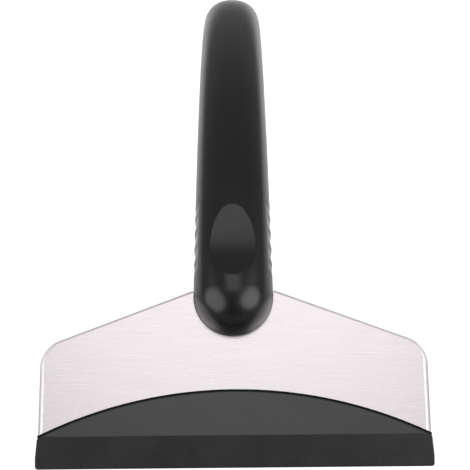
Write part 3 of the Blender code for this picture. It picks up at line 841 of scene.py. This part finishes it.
class HeadForm:
    """Outline of the steel head in (x, v), from the tool's sizes."""

    def __init__(self, size):
        self.size = size
        self.inset = size.rim_bend + size.plate_thickness / 2
        self.shoulder_inset = size.rim_bend * SHOULDER_BEND_SHARE + size.plate_thickness / 2
        self.side = size.plate_half_width - self.inset
        self.corner_radius = size.corner_radius - self.inset
        self.inner = size.nose_radius + SHEET_GAP
        self.root = self.shoulder(self.inner)
        self.corner_x = self.side - self.corner_radius
        drop = self.corner_radius / math.cos(size.shoulder_slope)
        self.corner_v = self.shoulder(self.corner_x) - drop

    def shoulder(self, x):
        """Height v of the line where the shoulder's rim starts to bend."""
        slope = self.size.shoulder_slope
        fall = (x - self.size.nose_radius) * math.tan(slope)
        return self.size.shoulder_top - fall - self.shoulder_inset / math.cos(slope)

    def bent(self, place, out, drop):
        """A place on the rim after a step of the bend, which is weaker along the shoulder."""
        if place.x < self.inner + TOUCH:
            outwards = Vector((0, 1 / math.cos(self.size.shoulder_slope), 0))
            share = SHOULDER_BEND_SHARE
        else:
            last_turn = math.pi / 2 - self.size.shoulder_slope
            turn = math.atan2(place.y - self.corner_v, place.x - self.corner_x)
            turn = between(turn, 0.0, last_turn)
            outwards = Vector((math.cos(turn), math.sin(turn), 0))
            share = 1.0 - (1.0 - SHOULDER_BEND_SHARE) * turn / last_turn
        return place + (outwards * out - Vector((0, 0, drop))) * share


def flat_sheet(head):
    """Right half of the sheet, flat: a plane cut to the shoulder, with the tang drawn out."""
    size = head.size
    slope = size.shoulder_slope
    clear_selection()
    height = size.shoulder_top - size.plate_foot
    centre = (head.side / 2, size.plate_foot + height / 2, 0)
    bpy.ops.mesh.primitive_plane_add(size=1.0, location=centre)
    bpy.context.object.scale = (head.side, height, 1)
    sheet = new_piece("head")
    edit(sheet)
    cut((head.inner, head.root, 0), (math.sin(slope), math.cos(slope), 0))
    cut((0, head.root, 0), (0, 1, 0))
    corner = Vector((head.side, head.shoulder(head.side), 0))
    pick(sheet, "VERT", lambda vertex: (vertex.co - corner).length < TOUCH)
    tangent = head.corner_radius * math.tan((math.pi / 2 - slope) / 2)
    bevel(tangent, CORNER_STEPS, affect="VERTICES")
    cut((0, size.rim_foot, 0), (0, 1, 0), drop=False)
    cut((size.tang_half_width, 0, 0), (1, 0, 0), drop=False)

    def under_tang(edge):
        place = middle(edge)
        return place.y > head.root - TOUCH and place.x < size.tang_half_width
    pick(sheet, "EDGE", under_tang)
    extrude((0, size.tang_top - head.root, 0))
    return sheet


def bend_moves(size):
    """Steps out and down that take the sheet round the side's bend, which starts with a kink."""
    turns = [BEND_START + (math.pi / 2 - BEND_START) * k / BEND_STEPS for k in range(BEND_STEPS + 1)]
    radius = size.rim_bend / (1.0 - math.sin(BEND_START))
    moves = []
    for before, after in zip(turns, turns[1:]):
        out = radius * (math.sin(after) - math.sin(before))
        drop = radius * (math.cos(before) - math.cos(after))
        moves.append((out, drop))
    return moves


def roll_rim(head, sheet):
    """Bend the rim down along the side, round the corner and up the shoulder."""
    def on_rim(edge):
        place = middle(edge)
        return edge.is_boundary and place.y > head.size.rim_foot and place.x > head.inner
    pick(sheet, "EDGE", on_rim)
    for out, drop in bend_moves(head.size):
        extrude((0, 0, 0))
        move_selected(sheet, lambda place: head.bent(place, out, drop))
    extrude((0, 0, 0))
    move_selected(sheet, lambda place: Vector((place.x, place.y, -head.size.rim_depth)))


def add_brush_direction(obj):
    """UV map that runs up the sheet, so that the steel's gloss stretches square to its brushing."""
    uv = obj.data.uv_layers.new(name="brushing")
    to_plate = plate_matrix().inverted()
    for loop in obj.data.loops:
        place = to_plate @ obj.data.vertices[loop.vertex_index].co
        uv.data[loop.index].uv = (place.y - place.z, place.x)


def head_plate(material):
    """The steel head: half a sheet with a rolled rim, mirrored, given its thickness and its tilt."""
    head = HeadForm(sizes())
    sheet = flat_sheet(head)
    roll_rim(head, sheet)
    bpy.ops.mesh.select_all(action="SELECT")
    bpy.ops.mesh.dissolve_limited(angle_limit=FLAT_ANGLE)
    leave_edit()
    apply_modifier(sheet, "MIRROR", use_axis=(True, False, False), merge_threshold=WELD_DISTANCE)
    face_towards(sheet, Vector((0, 0, 1)))
    apply_modifier(
        sheet, "SOLIDIFY", thickness=head.size.plate_thickness, offset=0.0, use_even_offset=True)
    soften_edges(sheet, SHEET_SOFTNESS)
    sheet.data.transform(plate_matrix())
    close_up(sheet)
    shade(sheet, even_flats=True)
    add_brush_direction(sheet)
    finish_piece(sheet, material, "brushed_steel", "head_plate")


# Rubber edge

def foot_place(past_tip):
    """Place (v, w) on the flat that the foot rests on, at a distance behind its tip."""
    return Vector((math.cos(HEAD_TILT), -math.sin(HEAD_TILT))) * (TIP_Y + past_tip)


def blade_half_width(size, v):
    """Half width of the rubber at a height v: narrow at the crease, flared to the foot."""
    share = between((size.blade_crease - v) / (size.blade_crease - BLADE_FLARE_END), 0.0, 1.0)
    return size.plate_half_width - BLADE_CREASE_INSET + (BLADE_CREASE_INSET + BLADE_FLARE) * share


def blade_place(size, place):
    """Move a vertex of the flat blank to the wedge: widened, thinned to the tip, hollow below."""
    v, w = place.y, place.z
    if v > size.blade_crease - TOUCH:
        return place
    x = place.x * blade_half_width(size, v) / blade_half_width(size, size.blade_crease)
    if w > 0:
        top = TIP_THICKNESS + (size.blade_top - TIP_THICKNESS) * v / size.blade_crease
        return Vector((x, v, top))
    tip, land = foot_place(0.0), foot_place(BLADE_LAND)
    if v < land.x:
        return Vector((x, *tip.lerp(land, v / land.x)))
    start = Vector((BLADE_UNDERSIDE_START, -size.blade_underside))
    share = between((v - land.x) / (start.x - land.x), 0.0, 1.0)
    return Vector((x, v, land.lerp(start, share).y))


def arc_radius(size):
    """Radius of the rubber's arc, from its rise and its half width at the crease."""
    half = blade_half_width(size, size.blade_crease)
    return (half ** 2 + size.blade_rise ** 2) / (2 * size.blade_rise)


def blade_blank(size):
    """A disc as wide as the arc, cut down to the crease, then drawn out to the foot row by row."""
    half = blade_half_width(size, size.blade_crease)
    radius = arc_radius(size)
    centre = (0, size.blade_apex - radius, (size.blade_top - size.blade_underside) / 2)
    blade = cylinder("edge", ARC_COLUMNS, radius, size.blade_top + size.blade_underside, centre)
    edit(blade)
    cut((0, size.blade_crease, 0), (0, -1, 0), fill=True)
    for side in (1, -1):
        cut((side * half, 0, 0), (side, 0, 0), fill=True)

    def at_crease(face):
        return abs(middle(face).y - size.blade_crease) < TOUCH and face.normal.y < -NEARLY_SQUARE

    def foot_corner(edge):
        at_foot = all(end.co.y < TOUCH for end in edge.verts)
        return at_foot and abs(middle(edge).x) > half - TOUCH
    pick(blade, "FACE", at_crease)
    land_end = foot_place(BLADE_LAND).x
    rows = [size.blade_crease, BLADE_UNDERSIDE_START, BLADE_FLARE_END, land_end, 0.0]
    for here, after in zip(rows, rows[1:]):
        extrude((0, after - here, 0))
    pick(blade, "EDGE", foot_corner)
    bevel(BLADE_CORNER_RADIUS, BLADE_CORNER_STEPS)
    leave_edit()
    for vertex in blade.data.vertices:
        vertex.co = blade_place(size, vertex.co)
    return blade


def round_blade(size, blade):
    """Break the wedge's edges, round the rim of the arc and soften the crease."""
    def on_wedge(edge):
        return middle(edge).y < size.blade_crease - TOUCH and edge.calc_face_angle() > RIM_ANGLE

    def on_top(edge):
        return all(abs(end.co.z - size.blade_top) < TOUCH for end in edge.verts)

    def on_arc(edge):
        return on_top(edge) and min(end.co.y for end in edge.verts) > size.blade_crease + NEAR

    def on_crease(edge):
        return on_top(edge) and abs(middle(edge).y - size.blade_crease) < TOUCH
    edit(blade)
    pick(blade, "EDGE", on_wedge)
    bevel(BLADE_SOFTNESS, SOFT_STEPS)
    pick(blade, "EDGE", on_arc)
    bevel(BLADE_ARC_SOFTNESS, ARC_SOFT_STEPS)
    pick(blade, "EDGE", on_crease)
    bevel(BLADE_CREASE_SOFTNESS, SOFT_STEPS)
    leave_edit()


def line_arc(size, blade):
    """Cut the narrow groove that follows the arc just inside its rim."""
    outside = arc_radius(size) - ARC_LINE_INSET
    centre = (0, size.blade_apex - arc_radius(size), size.blade_top)
    ring = cylinder("ring", ARC_COLUMNS, outside, 2 * ARC_LINE_DEPTH, centre)
    core = cylinder("core", ARC_COLUMNS, outside - ARC_LINE_WIDTH, 4 * ARC_LINE_DEPTH, centre)
    join_or_cut(ring, core)
    join_or_cut(blade, ring)


def edge_blade(material):
    """The rubber edge: a wedge with an arc for its back, slotted for the sheet."""
    size = sizes()
    blade = blade_blank(size)
    round_blade(size, blade)
    line_arc(size, blade)
    room = size.plate_thickness / 2 + SHEET_GAP
    wide, far = 2 * size.plate_half_width, 2 * size.blade_apex
    lip = BLADE_UNDER_LIP_HALF_WIDTH
    rooms = (
        ((-wide, size.plate_foot - SHEET_GAP, -room), (wide, far, room)),
        ((-wide, BLADE_UNDER_LIP, -far), (wide, far, 0)),
        ((lip, size.rim_foot - SHEET_GAP, -far), (wide, far, 0)),
        ((-wide, size.rim_foot - SHEET_GAP, -far), (-lip, far, 0)),
    )
    for low, high in rooms:
        join_or_cut(blade, block("room", low, high))
    blade.data.transform(plate_matrix())
    close_up(blade)
    shade(blade, even_flats=True)
    finish_piece(blade, material, "blade_rubber", "edge_blade")


# Screws

def screw(name, place, slope, length):
    """A pan-head screw with a cross recess, its shank drawn out of its head, seated at a place."""
    centre = (0, 0, -SCREW_HEAD_HEIGHT / 2)
    piece = cylinder(name, SCREW_SIDES, SCREW_HEAD_RADIUS, SCREW_HEAD_HEIGHT, centre)
    edit(piece)
    pick(piece, "EDGE", lambda edge: abs(middle(edge).z + SCREW_HEAD_HEIGHT) < TOUCH)
    bevel(SCREW_CROWN, CROWN_STEPS)
    pick(piece, "FACE", lambda face: abs(middle(face).z) < TOUCH)
    bpy.ops.mesh.inset(thickness=SCREW_HEAD_RADIUS - SCREW_SHANK_RADIUS)
    extrude((0, 0, length - SCREW_POINT))
    extrude((0, 0, SCREW_POINT))
    bpy.ops.transform.resize(
        value=(SCREW_TIP_SHARE, SCREW_TIP_SHARE, 1), center_override=(0, 0, length))
    leave_edit()
    arm, across, deep = SCREW_RECESS_LENGTH / 2, SCREW_RECESS_WIDTH / 2, SCREW_RECESS_DEPTH
    for half_x, half_y in ((arm, across), (across, arm)):
        low = (-half_x, -half_y, -2 * SCREW_HEAD_HEIGHT)
        join_or_cut(piece, block("recess", low, (half_x, half_y, deep - SCREW_HEAD_HEIGHT)))
    piece.data.transform(Matrix.Translation(place) @ Matrix.Rotation(slope, 4, "X"))
    close_up(piece)
    shade(piece)
    return piece


def screws(material):
    size = sizes()
    form = GripForm(size)
    for k, v in enumerate(TANG_SCREW_ROWS):
        seat = plate_point(0, v, -size.plate_thickness / 2 - SCREW_GAP / 2)
        piece = screw(f"tang_fixing_{k + 1}", seat, HEAD_TILT, TANG_SCREW_LENGTH)
        finish_piece(piece, material, "screw_steel", f"tang_screw_{k + 1}")
    for k, s in enumerate(GRIP_SCREW_PLACES):
        seat = form.point(0, s, -SCREW_SEAT_DEPTH - SCREW_GAP / 2)
        piece = screw(f"grip_fixing_{k + 1}", seat, form.slope(s), GRIP_SCREW_LENGTH)
        finish_piece(piece, material, "screw_steel", f"grip_screw_{k + 1}")


# Materials

def set_inputs(tree, node, inputs):
    """Give each named input its value, or link it to another node's output."""
    for name, value in inputs.items():
        if isinstance(value, bpy.types.NodeSocket):
            tree.links.new(value, node.inputs[name])
        else:
            node.inputs[name].default_value = value


def add_node(tree, kind, inputs, **settings):
    """Add a shader node with its settings and its inputs."""
    node = tree.nodes.new("ShaderNode" + kind)
    for name, value in settings.items():
        setattr(node, name, value)
    set_inputs(tree, node, inputs)
    return node


def mapped(tree, inputs, **settings):
    """Object coordinates, moved, turned or stretched."""
    place = add_node(tree, "TexCoord", {}).outputs["Object"]
    return add_node(tree, "Mapping", {"Vector": place, **inputs}, **settings).outputs["Vector"]


def graded(tree, value, low, high, start=0.0, end=1.0, **settings):
    """Turn a value from start to end into one from low to high."""
    limits = {"From Min": start, "From Max": end, "To Min": low, "To Max": high}
    return add_node(tree, "MapRange", {"Value": value, **limits}, **settings).outputs["Result"]


def mixed(tree, share, near, far):
    """A colour that goes from near to far as a share goes from 0 to 1."""
    mix = add_node(tree, "Mix", {"Factor": share}, data_type="RGBA")
    first, second = [socket for socket in mix.inputs if socket.type == "RGBA"]
    first.default_value = (*near, 1)
    second.default_value = (*far, 1)
    return next(socket for socket in mix.outputs if socket.type == "RGBA")


def scaled(colour, share):
    return [channel * share for channel in colour]


class Finish:
    """A material under construction: its nodes, and a few plain ways to vary its shader."""

    def __init__(self, name, constants):
        self.material = bpy.data.materials.new(name)
        self.material.use_nodes = True
        self.tree = self.material.node_tree
        self.give(constants)

    def give(self, inputs):
        """Set or link inputs of the shader."""
        set_inputs(self.tree, self.tree.nodes["Principled BSDF"], inputs)

    def noise(self, scale, detail=FINE_DETAIL, stretch=(1, 1, 1), turn=0.0):
        """Noise on object coordinates, with lumps of 1 / scale metres, stretched where asked."""
        place = mapped(self.tree, {"Rotation": (turn, 0, 0), "Scale": stretch})
        inputs = {"Vector": place, "Scale": scale, "Detail": detail}
        return add_node(self.tree, "TexNoise", inputs).outputs["Fac"]

    def spread(self, noise, low=0.0, high=1.0):
        """Spread the values that a noise mostly has over low to high."""
        return graded(self.tree, noise, low, high, NOISE_LOW, NOISE_HIGH)

    def added(self, first, second):
        inputs = {0: first, 1: second}
        return add_node(self.tree, "Math", inputs, operation="ADD").outputs["Value"]

    def height_over_plate(self):
        """How far a point lies over the middle of the steel sheet."""
        inputs = {"Location": plate_point(0, 0, 0), "Rotation": (HEAD_TILT, 0, 0)}
        place = mapped(self.tree, inputs, vector_type="TEXTURE")
        return add_node(self.tree, "SeparateXYZ", {"Vector": place}).outputs["Z"]

    def tint(self, noise, colour, shares):
        """Vary the colour with a noise, between its darkest and its lightest share."""
        dark, light = [scaled(colour, share) for share in shares]
        self.give({"Base Color": mixed(self.tree, self.spread(noise), dark, light)})

    def roughen(self, noise, low, high, grain=None):
        """Vary the roughness with a noise, and a little more with a fine grain."""
        rough = self.spread(noise, low, high)
        if grain is not None:
            rough = self.added(rough, self.spread(grain, -GRAIN_ROUGHNESS, GRAIN_ROUGHNESS))
        self.give({"Roughness": rough})

    def relief(self, value, depth, strength):
        """Raise and sink the surface by a depth in metres."""
        inputs = {"Height": value, "Distance": depth, "Strength": strength}
        self.give({"Normal": add_node(self.tree, "Bump", inputs).outputs["Normal"]})


def grip_plastic():
    """Moulded black plastic: a satin gloss, a breath of grain, duller where hands have been."""
    finish = Finish("grip_plastic", {"IOR": GRIP_IOR})
    look = finishes()
    handled = finish.noise(GRIP_HANDLED, BROAD_DETAIL)
    grain = finish.noise(GRIP_GRAIN)
    finish.tint(handled, look.grip_colour, GRIP_SHARES)
    low, high = [look.grip_roughness + change for change in GRIP_ROUGHNESS_CHANGES]
    finish.roughen(handled, low, high, grain)
    finish.relief(grain, *GRIP_RELIEF)
    return finish.material


def pad_plastic():
    """Soft black pad: satin, with a close pebbled grain and a mottled gloss."""
    finish = Finish("pad_plastic", {})
    mottle = finish.noise(PAD_MOTTLE)
    pebble = finish.noise(PAD_PEBBLE, PEBBLE_DETAIL)
    finish.tint(mottle, finishes().pad_colour, PAD_SHARES)
    finish.roughen(mottle, *PAD_ROUGHNESS)
    finish.relief(finish.added(pebble, mottle), *PAD_RELIEF)
    return finish.material


def brushed_steel():
    """Stainless sheet brushed across: long fine lines in tone, gloss and relief, and a rim painted
    paler as a painted highlight.
    """
    finish = Finish("brushed_steel", {"Metallic": 1.0, "Anisotropic": BRUSH_ANISOTROPY})
    tree = finish.tree
    look = finishes()
    lines = finish.noise(1.0, BROAD_DETAIL, BRUSH_LINES, -HEAD_TILT)
    bands = finish.noise(1.0, FINE_DETAIL, BRUSH_BANDS, -HEAD_TILT)
    lines, bands = finish.spread(lines, 0, LINES_SHARE), finish.spread(bands, 0, BANDS_SHARE)
    brushing = finish.added(lines, bands)
    face = sizes().plate_thickness / 2
    height = finish.height_over_plate()
    # Painted highlight: under the sheet's face the rolled rim turns to the paler rim colour, and
    # rougher
    rim = graded(tree, height, 1, 0, face - RIM_HIGHLIGHT_AND_ROUGH_DEPTH, face - RIM_HIGHLIGHT_AND_ROUGH_START)
    tone = finish.added(graded(tree, brushing, 0, BRUSH_TONE), rim)
    dark = scaled(look.steel_colour, STEEL_DARK_SHARE)
    flat_rough = graded(tree, brushing, *STEEL_ROUGHNESS)
    rough = finish.added(flat_rough, graded(tree, rim, 0, RIM_ROUGHNESS))
    finish.give({"Base Color": mixed(tree, tone, dark, look.rim_highlight_colour), "Roughness": rough})
    finish.relief(brushing, *STEEL_RELIEF)
    across = add_node(tree, "Tangent", {}, direction_type="UV_MAP", uv_map="brushing")
    finish.give({"Tangent": across.outputs["Tangent"]})
    return finish.material


def edge_rubber():
    """Black rubber: a low sheen, slightly dusty, with a fine dry grain."""
    finish = Finish("edge_rubber", {})
    dust = finish.noise(RUBBER_DUST, BROAD_DETAIL)
    grain = finish.noise(RUBBER_GRAIN)
    finish.tint(dust, finishes().rubber_colour, RUBBER_SHARES)
    finish.roughen(dust, *RUBBER_ROUGHNESS, grain)
    finish.relief(grain, *RUBBER_RELIEF)
    return finish.material


def screw_metal():
    """Plated steel: bright, with a faint grain."""
    finish = Finish("screw_metal", {"Metallic": 1.0})
    grain = finish.noise(SCREW_GRAIN)
    finish.tint(grain, finishes().screw_colour, SCREW_SHARES)
    finish.roughen(grain, *SCREW_ROUGHNESS)
    finish.relief(grain, *SCREW_RELIEF)
    return finish.material


# Stage

def floor_material(values):
    """Pale floor in a dim room: it takes shadows like a table, and it shows white in pictures. Away
    from the tool its colour and its lift in glossy rays fall off, painted shade of the dim room.
    """
    constants = {"Roughness": FLOOR_ROUGHNESS, "Specular IOR Level": FLOOR_SPECULAR}
    finish = Finish("pale_floor", constants)
    tree = finish.tree
    place = mapped(tree, {"Location": (0, -TABLE_MIDDLE_Y, 0), "Scale": (TABLE_STRETCH, 1, 1)})
    distance = add_node(tree, "VectorMath", {0: place}, operation="LENGTH").outputs["Value"]
    away = graded(tree, distance, 0, 1, TABLE_NEAR, TABLE_FAR, interpolation_type="SMOOTHSTEP")
    # Painted shade: the floor's colour darkens away from the tool
    far_shade_colour = scaled(values.floor_colour, FAR_SHADE_SHARE)
    rays = add_node(tree, "LightPath", {}).outputs
    lifts = (
        ("Is Camera Ray", values.floor_lift, 1.0),
        ("Is Glossy Ray", GLOSSY_LIFT, GLOSSY_LIFT * FAR_SHADE_SHARE),
        ("Is Transmission Ray", GLOSSY_LIFT, GLOSSY_LIFT * FAR_SHADE_SHARE),
    )
    total = 0.0
    for ray, near, far in lifts:
        inputs = {0: rays[ray], 1: graded(tree, away, near, far), 2: total}
        total = add_node(tree, "Math", inputs, operation="MULTIPLY_ADD").outputs["Value"]
    finish.give({
        "Base Color": mixed(tree, away, values.floor_colour, far_shade_colour),
        "Emission Color": (1, 1, 1, 1), "Emission Strength": total})
    return finish.material


def softbox(name, shape, aside, over, reach, width, depth, brightness):
    """A soft lamp facing the nose, at an angle out to one side and one over it from behind."""
    aside, over = math.radians(aside), math.radians(over)
    sine, cosine = math.sin(aside), math.cos(aside)
    out = Vector((sine, cosine * math.cos(over), cosine * math.sin(over)))
    across = Vector((cosine, -sine * math.cos(over), -sine * math.sin(over)))
    data = bpy.data.lights.new(name, "AREA")
    data.shape = shape
    data.size = width
    data.size_y = depth
    area = width * depth
    if shape == "ELLIPSE":
        area *= math.pi / 4
    data.energy = brightness * math.pi * area
    lamp = bpy.data.objects.new(name, data)
    bpy.context.scene.collection.objects.link(lamp)
    lamp.location = plate_point(0, LAMP_TARGET, 0) + out * reach
    lamp.rotation_euler = Matrix((across, out.cross(across), out)).transposed().to_euler()


def set_world():
    """A plain room: dim in front, a little brighter behind."""
    world = bpy.data.worlds.new("studio")
    bpy.context.scene.world = world
    world.use_nodes = True
    tree = world.node_tree
    place = add_node(tree, "TexCoord", {}).outputs["Generated"]
    back = add_node(tree, "SeparateXYZ", {"Vector": place}).outputs["Y"]
    strength = graded(tree, back, ROOM_FRONT, ROOM_BACK, ROOM_DIM_UP_TO, ROOM_BRIGHT_FROM)
    set_inputs(tree, tree.nodes["Background"], {"Color": (1, 1, 1, 1), "Strength": strength})


def stage():
    values = stage_values()
    clear_selection()
    bpy.ops.mesh.primitive_plane_add(size=FLOOR_SIZE, location=(0, 0, 0))
    floor = new_piece("floor")
    floor.data.materials.append(floor_material(values))
    for lamp in LAMPS:
        softbox(*lamp)
    set_world()
    data = bpy.data.cameras.new("camera")
    data.sensor_width = SENSOR_WIDTH
    data.lens = values.lens
    data.clip_start = NEAREST_SEEN
    camera = bpy.data.objects.new("camera", data)
    bpy.context.scene.collection.objects.link(camera)
    camera.location = values.camera_place
    camera.rotation_euler = values.camera_turn
    bpy.context.scene.camera = camera
    bpy.context.scene.view_settings.view_transform = "Standard"


# The steps that a user can run, and the panel that lists them

class SCRAPER_OT_grip(bpy.types.Operator):
    """Model the grip's two moulded shells"""

    bl_idname = "scraper.grip"
    bl_label = "Grip Shells"

    def execute(self, context):
        grip_shells(grip_plastic())
        return {"FINISHED"}


class SCRAPER_OT_pads(bpy.types.Operator):
    """Model the two soft side pads with their ribs"""

    bl_idname = "scraper.pads"
    bl_label = "Side Pads"

    def execute(self, context):
        grip_pads(pad_plastic())
        return {"FINISHED"}


class SCRAPER_OT_head(bpy.types.Operator):
    """Model the brushed steel head"""

    bl_idname = "scraper.head"
    bl_label = "Steel Head"

    def execute(self, context):
        head_plate(brushed_steel())
        return {"FINISHED"}


class SCRAPER_OT_edge(bpy.types.Operator):
    """Model the rubber edge"""

    bl_idname = "scraper.edge"
    bl_label = "Rubber Edge"

    def execute(self, context):
        edge_blade(edge_rubber())
        return {"FINISHED"}


class SCRAPER_OT_screws(bpy.types.Operator):
    """Model the screws that hold the grip and the tang"""

    bl_idname = "scraper.screws"
    bl_label = "Screws"

    def execute(self, context):
        screws(screw_metal())
        return {"FINISHED"}


class SCRAPER_OT_stage(bpy.types.Operator):
    """Set up the floor, the lamps and the camera"""

    bl_idname = "scraper.stage"
    bl_label = "Stage"

    def execute(self, context):
        stage()
        return {"FINISHED"}


STEPS = (
    SCRAPER_OT_grip, SCRAPER_OT_pads, SCRAPER_OT_head,
    SCRAPER_OT_edge, SCRAPER_OT_screws, SCRAPER_OT_stage,
)


class SCRAPER_PT_panel(bpy.types.Panel):
    """Lists the steps that make the scraper"""

    bl_idname = "SCRAPER_PT_panel"
    bl_label = "Ice Scraper"
    bl_space_type = "VIEW_3D"
    bl_region_type = "UI"
    bl_category = "Scraper"

    def draw(self, context):
        for step in STEPS:
            self.layout.operator(step.bl_idname)


PROPERTY_GROUPS = (
    ("scraper_sizes", ScraperSizes),
    ("scraper_finishes", ScraperFinishes),
    ("scraper_stage", ScraperStage),
)


def register():
    for name, group in PROPERTY_GROUPS:
        bpy.utils.register_class(group)
        setattr(bpy.types.Scene, name, bpy.props.PointerProperty(type=group))
    for step in STEPS:
        bpy.utils.register_class(step)
    bpy.utils.register_class(SCRAPER_PT_panel)


def unregister():
    bpy.utils.unregister_class(SCRAPER_PT_panel)
    for step in reversed(STEPS):
        bpy.utils.unregister_class(step)
    for name, group in reversed(PROPERTY_GROUPS):
        delattr(bpy.types.Scene, name)
        bpy.utils.unregister_class(group)


def main():
    register()
    bpy.ops.scraper.grip()
    bpy.ops.scraper.pads()
    bpy.ops.scraper.head()
    bpy.ops.scraper.edge()
    bpy.ops.scraper.screws()
    bpy.ops.scraper.stage()


if __name__ == "__main__":
    main()
